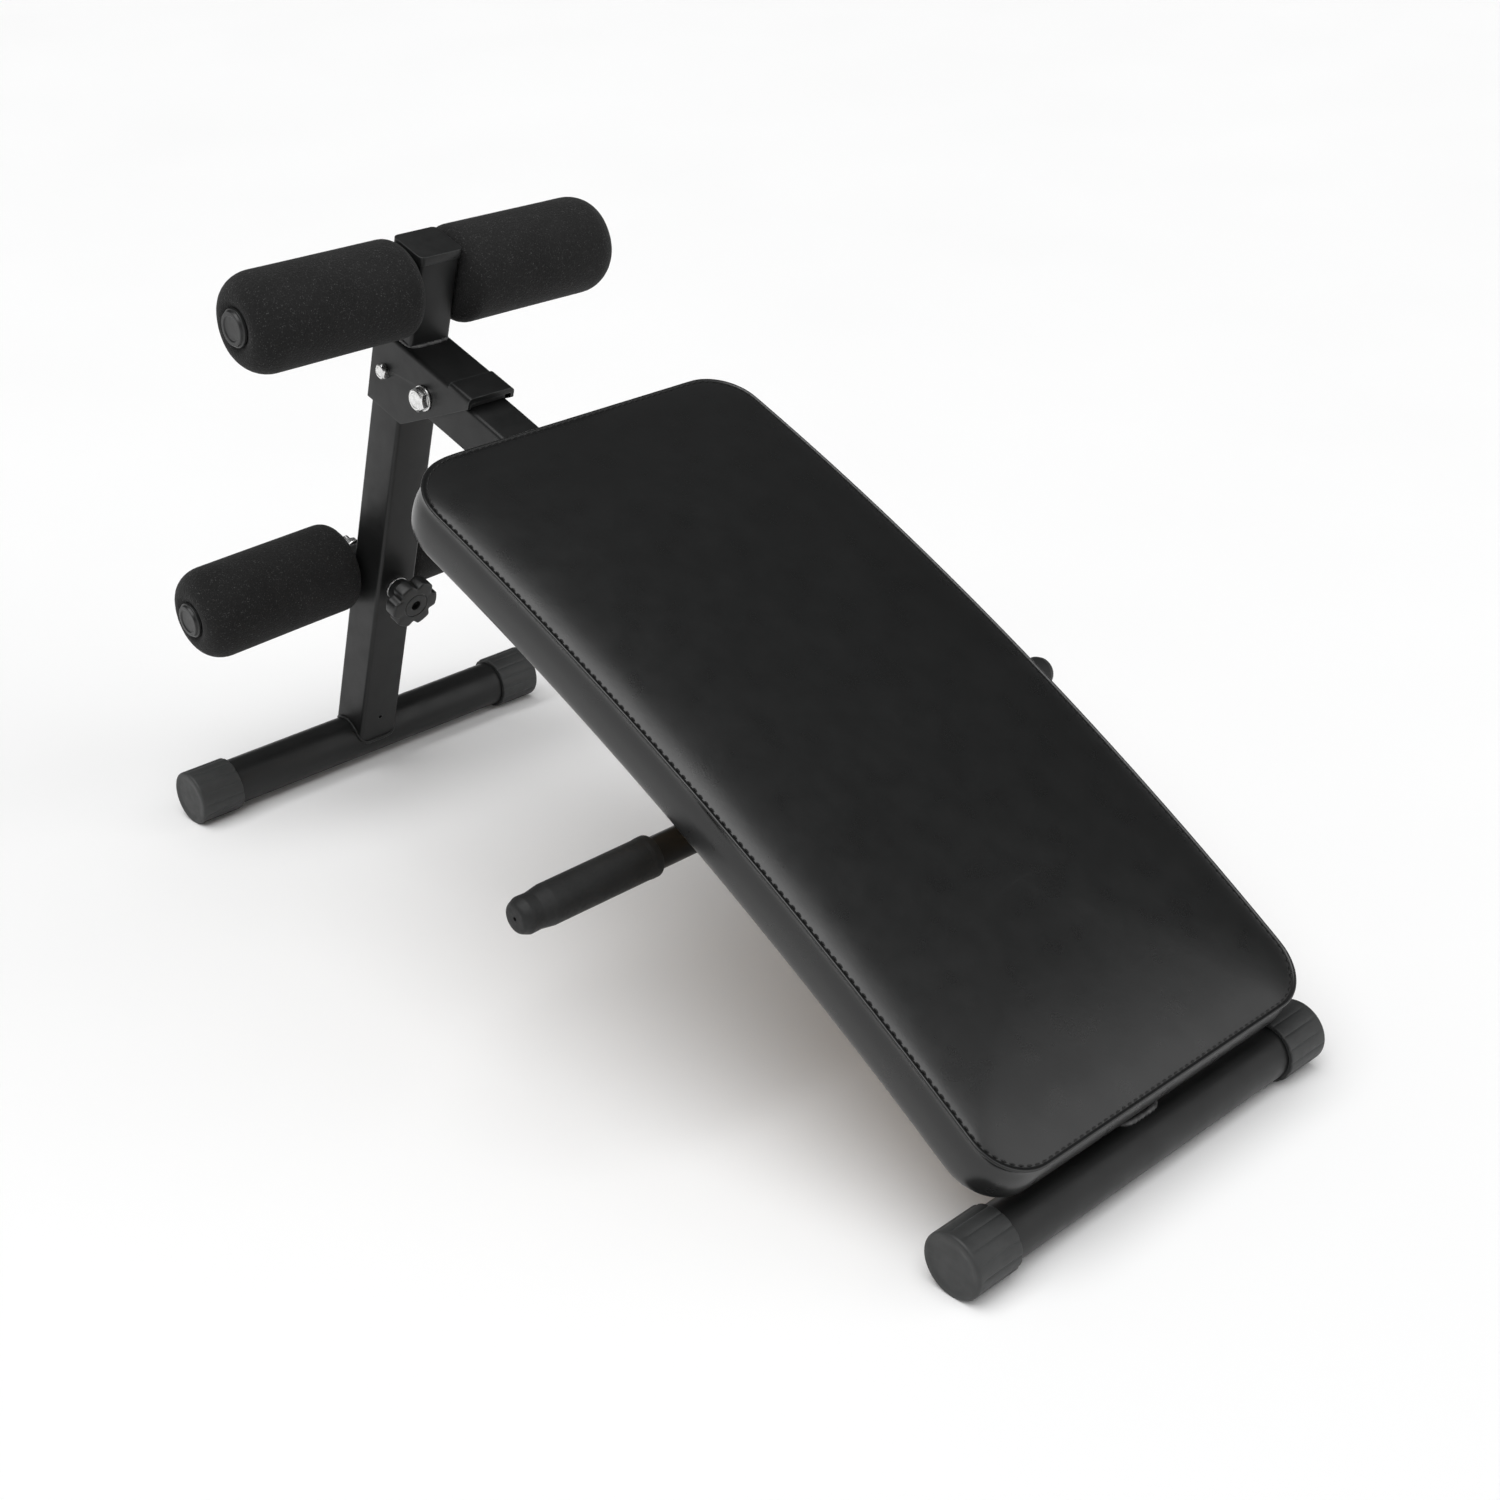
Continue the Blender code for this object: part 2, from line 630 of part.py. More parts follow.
def pad_screw(name, place):
    head = 0.0055
    drop = 0.0030
    shank = 0.0030
    top = GAP + STRAP_THICK + 0.0085
    profile = [(0.0, top), (shank, top), (shank, 0.0), (head, 0.0), (head * 0.8, -drop), (0.0, -drop)]
    return turned(name, profile, place, "zinc", 16)


def board_bottom():
    return 2 * GAP + STRAP_THICK


def pad_board():
    low = board_bottom()
    half = PAD_WIDTH / 2 - BOARD_INSET
    board = bent_bar("pad_board", (PAD_START + BOARD_INSET, PAD_END - BOARD_INSET), (-half, half),
                     (low, low + BOARD_THICK), "plywood", along=2, radius=PAD_CORNER - BOARD_INSET, segments=4)
    for s, word in zip(STRAP_STATIONS, ("rear", "front")):
        for side, hand in ((-1, "left"), (1, "right")):
            place = at_beam(s, side * PAD_SCREW_Y, 0)
            hole(board, "board_hole_" + word + "_" + hand, 0.0034, -0.01, board_bottom() + BOARD_THICK + 0.002,
                 place, 16)
    return board


def pad_cushion():
    """Plain closed form of the upholstery, with a pocket underneath for the board."""
    half = PAD_WIDTH / 2
    low = board_bottom() + CUSHION_HEM
    cushion = bent_bar("pad_cushion", (PAD_START, PAD_END), (-half, half), (low, CUSHION_TOP), "vinyl",
                       along=2, radius=PAD_CORNER, segments=5)
    soft = cushion.modifiers.new("Edge", "BEVEL")
    soft.width = 0.009
    soft.segments = 2
    soft.limit_method = "ANGLE"
    soft.angle_limit = math.radians(60)
    half_in = half - BOARD_INSET + GAP
    pocket = bent_bar("pad_pocket", (PAD_START + BOARD_INSET - GAP, PAD_END - BOARD_INSET + GAP),
                      (-half_in, half_in), (-0.01, board_bottom() + BOARD_THICK + GAP), None, cutter=True,
                      along=2, radius=PAD_CORNER - BOARD_INSET, segments=4)
    return modify(cushion, pocket, "DIFFERENCE")


# Fold axis

BENCH_PIECES = ("main_beam", "beam_end_plug", "pivot_bushing", "front_floor_tube", "front_cap_left",
                "front_cap_right", "handle_bar", "grip_left", "grip_right", "pad_strap_rear",
                "pad_strap_front", "pad_screw_rear_left", "pad_screw_rear_right", "pad_screw_front_left",
                "pad_screw_front_right", "pad_board", "pad_cushion")


def hang_on_pivot():
    """Parents every piece that folds with the beam to an empty on the pivot bolt's axis."""
    pivot = bpy.data.objects.new("fold_axis", None)
    pivot.matrix_world = at_post(PIVOT_X, 0, pivot_z())
    MODEL.objects.link(pivot)
    for name in BENCH_PIECES:
        piece = bpy.data.objects[name]
        piece.parent = pivot
        piece.matrix_parent_inverse = pivot.matrix_world.inverted()


def build():
    clear_scene()
    make_collections()
    front_x = REAR_X + WHEELBASE
    for end, x in (("rear", REAR_X), ("front", front_x)):
        floor_tube(end + "_floor_tube", x)
        floor_cap(end + "_cap_left", x, -1)
        floor_cap(end + "_cap_right", x, 1)
    upright_post()
    hinge_bracket()
    stop_bumper()
    side_bolt()
    pivot_set()
    roller_post()
    roller_post_cap()
    roller("upper", at_post(STUB_X, 0, UPPER_ROLLER_Z))
    lower_bar = roller("lower", lower_centre())
    hole(lower_bar, "bar_screw_hole", 0.0045, SCREW_TIP, 0.0, at_post(0, 0, LOWER_ROLLER_Z) @ AXIS_FORWARD)
    clamp_set()
    main_beam()
    beam_end_plug()
    handle()
    pad_mounting()
    pad_board()
    pad_cushion()
    hang_on_pivot()


build()
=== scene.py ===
"""Decline sit up bench: the looks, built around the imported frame.  Metres, +Z up."""
import bisect
import json
import math

import bmesh
import bpy
from mathutils import Matrix, Vector


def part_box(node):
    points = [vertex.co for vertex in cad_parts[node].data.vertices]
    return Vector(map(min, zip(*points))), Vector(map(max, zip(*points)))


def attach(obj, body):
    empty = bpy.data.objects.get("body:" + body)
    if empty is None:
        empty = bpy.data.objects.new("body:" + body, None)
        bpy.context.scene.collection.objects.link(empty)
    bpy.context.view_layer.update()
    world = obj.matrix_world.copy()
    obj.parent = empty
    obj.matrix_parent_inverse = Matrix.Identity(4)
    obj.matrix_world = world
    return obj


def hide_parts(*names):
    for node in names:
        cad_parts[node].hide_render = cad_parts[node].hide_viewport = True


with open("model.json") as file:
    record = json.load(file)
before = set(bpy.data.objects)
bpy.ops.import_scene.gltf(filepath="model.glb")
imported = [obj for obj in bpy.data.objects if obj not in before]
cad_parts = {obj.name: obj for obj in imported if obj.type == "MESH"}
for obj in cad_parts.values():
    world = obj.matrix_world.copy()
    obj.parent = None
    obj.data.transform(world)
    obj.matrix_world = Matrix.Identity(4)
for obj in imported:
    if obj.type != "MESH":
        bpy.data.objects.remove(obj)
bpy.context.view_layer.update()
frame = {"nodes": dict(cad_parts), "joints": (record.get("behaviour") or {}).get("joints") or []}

MM = 0.001
move = Matrix.Translation
JOINTS = {joint["name"]: joint for joint in frame["joints"]}


# Places read from the frame

def middle(node):
    low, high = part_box(node)
    return (low + high) / 2


REAR_AXIS = middle("rear_floor_tube")
FRONT_AXIS = middle("front_floor_tube")
UPPER_AXIS = middle("upper_foam_left")
LOWER_CENTRE = (middle("lower_foam_left") + middle("lower_foam_right")) / 2
HANDLE_AXIS = middle("handle_bar")
PIVOT = Vector(JOINTS["fold"]["pos_m"])
FORWARD = Vector(JOINTS["knob_turn"]["axis"])
LOWER_RUN = Vector(JOINTS["lower_left_spin"]["axis"])
LEAN = math.atan2(-FORWARD.z, FORWARD.x)
POST = move(REAR_AXIS) @ Matrix.Rotation(LEAN, 4, "Y")
LEVEL_TO_RUN = Vector((0, 1, 0)).rotation_difference(LOWER_RUN).to_matrix().to_4x4()


def in_post(point):
    return POST.inverted() @ Vector(point)


# Sizes, as in the CAD model
SQUARE = 40 * MM
CORNER = 3.5 * MM
WALL = 2 * MM
GAP = 0.3 * MM
SHEET = 3 * MM
FLOOR_R = 21 * MM
BAR_R = 12.5 * MM
TUBE_HALF = 185.9 * MM
CAP_FACE, CAP_R, CAP_LONG = 191.2 * MM, 24.6 * MM, 42 * MM
CAP_RIBS = 14
BAR_WALL, BAR_HALF = 1.5 * MM, 177 * MM
FOAM_R, FOAM_OUTER = 40.8 * MM, 178.4 * MM
FOAM_INNER = {"upper": 21.6 * MM, "lower": 23.6 * MM}
PLUG_FACE, PLUG_UNDER, PLUG_DEEP = 182.2 * MM, 177.6 * MM, 22 * MM
HANDLE_HALF, GRIP_END, GRIP_INNER = 272 * MM, 277 * MM, 155 * MM
POST_TOP, POST_FOOT, POST_VENT = 440.7 * MM, 7.5 * MM, 33 * MM
BRACKET_REAR, BRACKET_FRONT = -21 * MM, 108 * MM
BRACKET_LOW, BRACKET_TOP = 373 * MM, 444 * MM
SLOPE_START, BRACKET_LIP, BRACKET_BEND = 27 * MM, 7.5 * MM, 4.5 * MM
TAB_FROM, TAB_RISE = 80.8 * MM, 2.0 * MM
STUB_X, STUB_DEPTH, STUB_TOP, STUB_CAP_TOP = 5.75 * MM, 36.5 * MM, 524 * MM, 529 * MM
SIDE_BOLT = (-2 * MM, 408.7 * MM)
ARC_X, BEAM_TOP, ARCH_R = 80 * MM, 434.2 * MM, 2.700
BEAM_START, BEAM_SETBACK = -42 * MM, 12 * MM
PAD_START, PAD_END, PAD_WIDTH, PAD_CORNER = 116.5 * MM, 797 * MM, 336 * MM, 38 * MM
REAR_LEFT_CORNER = 54 * MM
BOARD_INSET, BOARD_LOW, BOARD_THICK = 13 * MM, 3.6 * MM, 10 * MM
STRAPS, STRAP_HALF, STRAP_REACH = (210 * MM, 660 * MM), 15 * MM, 105 * MM
STRAP_SCREW_Y = 80 * MM
STITCH_INSET, STITCH_PITCH, STITCH_LENGTH, THREAD_R = 4.0 * MM, 6.2 * MM, 4.3 * MM, 0.66 * MM
STAPLE_INSET = 27 * MM
KNOB_FRONT, KNOB_RIM = 50 * MM, 22 * MM
SCREW_HOLE, BOLT_HOLE, PIVOT_HOLE = 4.5 * MM, 4.3 * MM, 5.3 * MM
THROUGH = 30 * MM


def at_post(x, y, z):
    return POST @ move((x, y, z))


def bend_point(s, y, h):
    """Beam coordinates (along, across, over the beam's top face) to a world point."""
    if s <= 0.0:
        return POST @ Vector((ARC_X + s, y, BEAM_TOP + h))
    turn = s / ARCH_R
    reach = ARCH_R + h
    return POST @ Vector((ARC_X + reach * math.sin(turn), y, BEAM_TOP - ARCH_R + reach * math.cos(turn)))


def at_beam(s, y, h):
    turn = max(s, 0.0) / ARCH_R
    return move(bend_point(s, y, h)) @ Matrix.Rotation(LEAN + turn, 4, "Y")


def along_beam(point):
    """How far along the beam a world point lies."""
    spot = in_post(point)
    return math.atan2(spot.x - ARC_X, spot.z - (BEAM_TOP - ARCH_R)) * ARCH_R


def outward(side):
    """Turns local z to +Y (side 1) or -Y (side -1)."""
    return Matrix.Rotation(-side * math.pi / 2, 4, "X")


HERE = Matrix.Identity(4)
SIDES = ((-1, "left"), (1, "right"))
REAR, BENCH = "rear_frame", "bench_beam"
ALONG_SCREW = Matrix.Rotation(math.pi / 2, 4, "Y")
SCREW_SPOT = at_post(0, 0, in_post(LOWER_CENTRE).z) @ ALONG_SCREW
SIDE_BOLT_SPOT = at_post(SIDE_BOLT[0], 0, SIDE_BOLT[1])
PIVOT_SPOT = move(PIVOT)


# Materials

class Nodes:
    """A short way to write a node tree round one Principled shader."""

    def __init__(self, name):
        self.material = bpy.data.materials.new(name)
        self.material.use_nodes = True
        self.tree = self.material.node_tree
        self.shader = self.tree.nodes["Principled BSDF"]
        self.coords = self.tree.nodes.new("ShaderNodeTexCoord").outputs["Object"]

    def set(self, **values):
        for key, value in values.items():
            self.shader.inputs[key.replace("_", " ")].default_value = value
        return self

    def add(self, kind, inputs=None, **settings):
        node = self.tree.nodes.new(kind)
        for key, value in settings.items():
            setattr(node, key, value)
        for key, value in (inputs or {}).items():
            if isinstance(value, bpy.types.NodeSocket):
                self.tree.links.new(value, node.inputs[key])
            else:
                node.inputs[key].default_value = value
        return node

    def noise(self, scale, detail=3.0, roughness=0.55):
        return self.add("ShaderNodeTexNoise", {"Vector": self.coords, "Scale": scale, "Detail": detail,
                                               "Roughness": roughness}).outputs["Fac"]

    def cells(self, scale):
        return self.add("ShaderNodeTexVoronoi", {"Vector": self.coords, "Scale": scale}).outputs["Distance"]

    def remap(self, value, low, high, to_low, to_high):
        return self.add("ShaderNodeMapRange", {"Value": value, "From Min": low, "From Max": high,
                                               "To Min": to_low, "To Max": to_high}).outputs["Result"]

    def math(self, operation, first, second):
        return self.add("ShaderNodeMath", {0: first, 1: second}, operation=operation).outputs[0]

    def mix(self, factor, first, second):
        return self.add("ShaderNodeMix", {0: factor, 6: first, 7: second}, data_type="RGBA").outputs[2]

    def blend(self, value, first, second):
        return self.mix(self.remap(value, 0.3, 0.7, 0.0, 1.0), first, second)

    def edge(self, radius):
        """0 on flat faces, up to 1 on outer and inner edges."""
        soft = self.add("ShaderNodeBevel", {"Radius": radius}, samples=6).outputs["Normal"]
        hard = self.add("ShaderNodeNewGeometry").outputs["Normal"]
        dot = self.add("ShaderNodeVectorMath", {0: soft, 1: hard}, operation="DOT_PRODUCT").outputs["Value"]
        return self.remap(dot, 0.995, 0.90, 0.0, 1.0)

    def bump(self, height, strength, distance, normal=None):
        inputs = {"Height": height, "Strength": strength, "Distance": distance}
        if normal is not None:
            inputs["Normal"] = normal
        return self.add("ShaderNodeBump", inputs).outputs["Normal"]

    def link(self, **sockets):
        for key, value in sockets.items():
            self.tree.links.new(value, self.shader.inputs[key.replace("_", " ")])
        return self.material


def grey(value, tint=(1.0, 1.0, 1.0)):
    return (value * tint[0], value * tint[1], value * tint[2], 1.0)


COOL = (0.96, 1.0, 1.0)


def powder_coat():
    n = Nodes("powder_coat_black").set(Metallic=0.0, Specular_IOR_Level=0.35)
    mottle = n.noise(18.0, 4.0)
    tone = n.blend(mottle, grey(0.0070, COOL), grey(0.0095, COOL))
    # Edges lighter in patches: partly edge wear, partly a painted highlight along the edges.
    edge_wear_and_highlight = n.mix(n.math("MULTIPLY", n.edge(0.0012), n.remap(n.noise(140.0), 0.35, 0.65, 0.35, 1.0)),
                 tone, grey(0.070, COOL))
    peel = n.bump(n.noise(900.0, 2.0), 0.06, 0.0004)
    grain = n.bump(n.noise(2600.0, 1.0), 0.06, 0.0001, peel)
    rough = n.remap(n.noise(60.0, 5.0), 0.3, 0.7, 0.34, 0.46)
    return n.link(Base_Color=edge_wear_and_highlight, Roughness=rough, Normal=grain)


def weld_metal():
    n = Nodes("weld_bead").set(Metallic=0.0)
    tone = n.mix(n.remap(n.noise(260.0), 0.35, 0.65, 0.0, 1.0), grey(0.024), grey(0.12))
    rough = n.remap(n.noise(400.0), 0.3, 0.7, 0.38, 0.6)
    return n.link(Base_Color=tone, Roughness=rough, Normal=n.bump(n.noise(700.0), 0.3, 0.0004))


def zinc_plate():
    n = Nodes("bright_zinc").set(Metallic=1.0)
    tone = n.blend(n.noise(220.0, 5.0), grey(0.66, (1.0, 1.0, 0.98)), grey(0.92))
    rough = n.remap(n.noise(500.0, 4.0), 0.3, 0.7, 0.20, 0.36)
    return n.link(Base_Color=tone, Roughness=rough, Normal=n.bump(n.noise(900.0), 0.16, 0.0003))


def rubber():
    n = Nodes("moulded_rubber").set(Metallic=0.0, Specular_IOR_Level=0.45)
    tone = n.blend(n.noise(45.0, 5.0), grey(0.024, COOL), grey(0.032, COOL))
    # Edges lighter in patches: partly scuffs, partly a painted highlight along the edges.
    scuffs_and_edge_highlight = n.mix(n.math("MULTIPLY", n.edge(0.0015), n.remap(n.noise(210.0), 0.4, 0.7, 0.2, 1.0)),
                    tone, grey(0.060, COOL))
    rough = n.remap(n.noise(120.0), 0.3, 0.7, 0.48, 0.62)
    return n.link(Base_Color=scuffs_and_edge_highlight, Roughness=rough, Normal=n.bump(n.noise(1500.0, 2.0), 0.14, 0.0003))


def grip_rubber():
    n = Nodes("grip_rubber").set(Metallic=0.0, Specular_IOR_Level=0.35)
    tone = n.blend(n.noise(70.0, 4.0), grey(0.0085, COOL), grey(0.0125, COOL))
    rough = n.remap(n.noise(260.0), 0.3, 0.7, 0.50, 0.66)
    pebble = n.bump(n.cells(900.0), 0.22, 0.0003)
    return n.link(Base_Color=tone, Roughness=rough, Normal=pebble)


def plastic():
    n = Nodes("moulded_plastic").set(Metallic=0.0, Specular_IOR_Level=0.45)
    tone = n.blend(n.noise(90.0), grey(0.009, COOL), grey(0.013, COOL))
    lit = n.mix(n.edge(0.0008), tone, grey(0.055, COOL))
    rough = n.remap(n.noise(300.0), 0.3, 0.7, 0.30, 0.42)
    return n.link(Base_Color=lit, Roughness=rough, Normal=n.bump(n.noise(1800.0, 2.0), 0.10, 0.0002))


def foam_skin():
    n = Nodes("foam_sleeve").set(Metallic=0.0, Sheen_Weight=0.05, Sheen_Roughness=0.6,
                                     Specular_IOR_Level=0.2)
    base = n.blend(n.noise(28.0, 4.0), grey(0.0052), grey(0.0085))
    pits = n.cells(520.0)
    speck = n.math("GREATER_THAN", n.noise(950.0, 1.0, 0.5), 0.64)
    tone = n.mix(n.math("MULTIPLY", speck, n.remap(n.noise(260.0), 0.4, 0.65, 0.1, 1.0)), base, grey(0.058))
    coarse = n.bump(pits, 0.55, 0.0006)
    fine = n.bump(n.noise(1300.0, 3.0), 0.5, 0.0004, coarse)
    rough = n.remap(pits, 0.0, 0.6, 0.97, 0.82)
    return n.link(Base_Color=tone, Roughness=rough, Normal=fine)


def vinyl():
    n = Nodes("grained_vinyl").set(Metallic=0.0, Specular_IOR_Level=0.52, Coat_Weight=0.08,
                                     Coat_Roughness=0.4)
    tone = n.blend(n.noise(9.0, 3.0), grey(0.0065, COOL), grey(0.0085, COOL))
    grain = n.cells(700.0)
    # Painted shade: the low spots of the grain's bump are darker.
    shaded_grain_pits = n.mix(n.remap(grain, 0.0, 0.25, 1.0, 0.0), tone, grey(0.0055, COOL))
    leather = n.bump(grain, 0.05, 0.0003)
    soft = n.bump(n.noise(26.0, 3.0), 0.06, 0.0035, leather)
    rough = n.remap(n.noise(40.0, 4.0), 0.3, 0.7, 0.26, 0.33)
    return n.link(Base_Color=shaded_grain_pits, Roughness=rough, Normal=soft)


def thread():
    n = Nodes("sewing_thread").set(Metallic=0.0)
    ply = n.add("ShaderNodeTexWave", {"Vector": n.coords, "Scale": 900.0, "Distortion": 2.0}).outputs["Fac"]
    tone = n.mix(ply, grey(0.003), grey(0.010))
    rough = n.remap(ply, 0.0, 1.0, 0.6, 0.8)
    return n.link(Base_Color=tone, Roughness=rough, Normal=n.bump(ply, 0.3, 0.0001))


def plywood():
    n = Nodes("plywood").set(Metallic=0.0)
    stretch = n.add("ShaderNodeMapping", {"Vector": n.coords, "Scale": (3.0, 40.0, 40.0)}).outputs["Vector"]
    grain = n.add("ShaderNodeTexNoise", {"Vector": stretch, "Scale": 6.0, "Detail": 8.0}).outputs["Fac"]
    tone = n.blend(grain, (0.33, 0.21, 0.11, 1), (0.58, 0.42, 0.26, 1))
    rough = n.remap(grain, 0.3, 0.7, 0.6, 0.8)
    return n.link(Base_Color=tone, Roughness=rough, Normal=n.bump(grain, 0.3, 0.0005))


def pale_floor():
    n = Nodes("studio_floor").set(Metallic=0.0)
    tone = n.mix(n.noise(0.8, 2.0), grey(0.92), grey(0.95))
    return n.link(Base_Color=tone, Roughness=n.remap(n.noise(3.0), 0.3, 0.7, 0.75, 0.85))


COAT, WELD, ZINC, RUBBER, GRIP = powder_coat(), weld_metal(), zinc_plate(), rubber(), grip_rubber()
PLASTIC, FOAM, VINYL, THREAD, PLY = plastic(), foam_skin(), vinyl(), thread(), plywood()


# Mesh makers

def show(obj):
    bpy.context.scene.collection.objects.link(obj)


def place(name, bm, matrix, material, body, replaced=(), smooth=35.0):
    """Turns a bmesh into a piece that rides on a body."""
    bmesh.ops.remove_doubles(bm, verts=bm.verts, dist=1e-6)
    bmesh.ops.recalc_face_normals(bm, faces=bm.faces)
    mesh = bpy.data.meshes.new(name)
    bm.to_mesh(mesh)
    bm.free()
    mesh.transform(matrix)
    mesh.materials.append(material)
    mesh.shade_smooth()
    mesh.set_sharp_from_angle(angle=math.radians(smooth))
    obj = bpy.data.objects.new(name, mesh)
    show(obj)
    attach(obj, body)
    if replaced:
        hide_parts(*replaced)
    return obj


def freeze(obj, smooth=35.0):
    """Applies every modifier, so that the piece is its final mesh."""
    graph = bpy.context.evaluated_depsgraph_get()
    mesh = bpy.data.meshes.new_from_object(obj.evaluated_get(graph))
    old = obj.data
    obj.modifiers.clear()
    obj.data = mesh
    bpy.data.meshes.remove(old)
    mesh.shade_smooth()
    mesh.set_sharp_from_angle(angle=math.radians(smooth))


def soften(obj, width, segments=2, angle=40.0):
    edge = obj.modifiers.new("Edge", "BEVEL")
    edge.width = width
    edge.segments = segments
    edge.limit_method = "ANGLE"
    edge.angle_limit = math.radians(angle)
    edge.use_clamp_overlap = True


def combine(obj, bm, matrix, operation="DIFFERENCE"):
    """Boolean with a throw-away bmesh, applied at once."""
    bmesh.ops.recalc_face_normals(bm, faces=bm.faces)
    mesh = bpy.data.meshes.new("tool")
    bm.to_mesh(mesh)
    bm.free()
    mesh.transform(matrix)
    tool = bpy.data.objects.new("tool", mesh)
    show(tool)
    step = obj.modifiers.new("Cut", "BOOLEAN")
    step.operation = operation
    step.solver = "EXACT"
    step.object = tool
    bpy.context.view_layer.update()
    freeze(obj)
    bpy.data.objects.remove(tool, do_unlink=True)
    bpy.data.meshes.remove(mesh)


def block(low, high):
    bm = bmesh.new()
    bmesh.ops.create_cube(bm, size=1.0)
    for vert in bm.verts:
        for axis in range(3):
            vert.co[axis] = (low[axis] + high[axis]) / 2 + vert.co[axis] * (high[axis] - low[axis])
    return bm


def round_block(low, high, along, radius, segments=5):
    """A block whose edges along one axis are rounded."""
    bm = block(low, high)
    picked = []
    for edge in bm.edges:
        run = edge.verts[1].co - edge.verts[0].co
        if abs(run[along]) > 0.999 * run.length:
            picked.append(edge)
    bmesh.ops.bevel(bm, geom=picked, offset=radius, segments=segments, profile=0.5, affect="EDGES")
    return bm


def cylinder(radius, z0, z1, segments=64):
    bm = bmesh.new()
    bmesh.ops.create_cone(bm, cap_ends=True, segments=segments, radius1=radius, radius2=radius,
                          depth=z1 - z0, matrix=move((0, 0, (z0 + z1) / 2)))
    return bm


def rounded(points, radii, steps=5):
    """A polyline of (r, z) points with its corners turned into arcs."""
    made = []
    count = len(points)
    for i, point in enumerate(points):
        radius = radii.get(i, 0.0)
        if not 0 < i < count - 1 or radius <= 0.0:
            made.append(point)
            continue
        here = Vector(point)
        before = Vector(points[i - 1]) - here
        after = Vector(points[i + 1]) - here
        half = before.angle(after) / 2
        cut = min(radius / math.tan(half), 0.49 * before.length, 0.49 * after.length)
        start, end = here + before.normalized() * cut, here + after.normalized() * cut
        for k in range(steps + 1):
            t = k / steps
            made.append(tuple(start * (1 - t) ** 2 + here * 2 * t * (1 - t) + end * t ** 2))
    return made


def spin(profile, segments=64, shape=None):
    """Turns (r, z) points round z.  shape(r, z, turn) may return a changed radius."""
    bm = bmesh.new()
    rings = []
    for radius, z in profile:
        if radius <= 1e-7:
            rings.append([bm.verts.new((0, 0, z))])
            continue
        ring = []
        for k in range(segments):
            turn = 2 * math.pi * k / segments
            reach = shape(radius, z, turn) if shape else radius
            ring.append(bm.verts.new((reach * math.cos(turn), reach * math.sin(turn), z)))
        rings.append(ring)
    closed = profile[0][0] > 1e-7
    pairs = list(zip(rings, rings[1:] + rings[:1])) if closed else list(zip(rings, rings[1:]))
    for first, second in pairs:
        join_rings(bm, first, second)
    return bm


def join_rings(bm, first, second):
    count = max(len(first), len(second))
    for k in range(count):
        nxt = (k + 1) % count
        if len(first) == 1:
            bm.faces.new((first[0], second[nxt], second[k]))
        elif len(second) == 1:
            bm.faces.new((first[k], first[nxt], second[0]))
        else:
            bm.faces.new((first[k], first[nxt], second[nxt], second[k]))


def pipe(r_out, r_in, z0, z1):
    """A tube with its outer edges broken."""
    edge = 0.6 * MM
    return spin([(r_in, z1), (r_out - edge, z1), (r_out, z1 - edge), (r_out, z0 + edge),
                 (r_out - edge, z0), (r_in, z0)])


def sweep(points, radius, ripple=0.0, pitch=1.0, sides=10, closed=False):
    """A bead along world points, its radius rising and falling once every pitch."""
    bm = bmesh.new()
    rings = []
    travelled = 0.0
    count = len(points)
    for i, point in enumerate(points):
        ahead = points[(i + 1) % count] if closed or i < count - 1 else point
        behind = points[i - 1] if closed or i > 0 else point
        run = (ahead - behind).normalized()
        if i:
            travelled += (point - points[i - 1]).length
        aside = run.orthogonal().normalized()
        other = run.cross(aside)
        size = radius * (1 + ripple * math.sin(2 * math.pi * travelled / pitch))
        if not closed and i in (0, count - 1):
            size *= 0.35
        ring = []
        for k in range(sides):
            turn = 2 * math.pi * k / sides
            ring.append(bm.verts.new(point + (aside * math.cos(turn) + other * math.sin(turn)) * size))
        rings.append(ring)
    for i in range(count if closed else count - 1):
        connect_nearest(bm, rings[i], rings[(i + 1) % count])
    if not closed:
        bm.faces.new(rings[0])
        bm.faces.new(rings[-1])
    return bm


def connect_nearest(bm, first, second):
    """Joins two rings of the same size whose starts may have turned against each other."""
    sides = len(first)
    gaps = [(first[0].co - vert.co).length for vert in second]
    shift = gaps.index(min(gaps))
    ahead = (first[1].co - second[(shift + 1) % sides].co).length
    behind = (first[1].co - second[(shift - 1) % sides].co).length
    step = 1 if ahead <= behind else -1
    for k in range(sides):
        a, b = first[k], first[(k + 1) % sides]
        c, d = second[(shift + step * (k + 1)) % sides], second[(shift + step * k) % sides]
        bm.faces.new((a, b, c, d))


# Floor tubes and caps

def floor_tube(end, axis, body):
    place(end + "_tube", pipe(FLOOR_R, FLOOR_R - WALL, -TUBE_HALF, TUBE_HALF),
          move(axis) @ outward(1), COAT, body, [end + "_floor_tube"])


def rib_shape(radius, z, turn):
    """Shallow axial grooves on the sleeve, fading out before the end face."""
    start = -3.5 * MM
    if radius < 23 * MM or z > start:
        return radius
    fade = min(1.0, (start - z) / (2 * MM))
    groove = max(0.0, math.cos(CAP_RIBS * turn)) ** 8
    flat = 0.5 - 0.5 * math.cos(CAP_RIBS * turn + math.pi)
    return radius - fade * (0.6 * MM * groove + 0.2 * MM * flat)


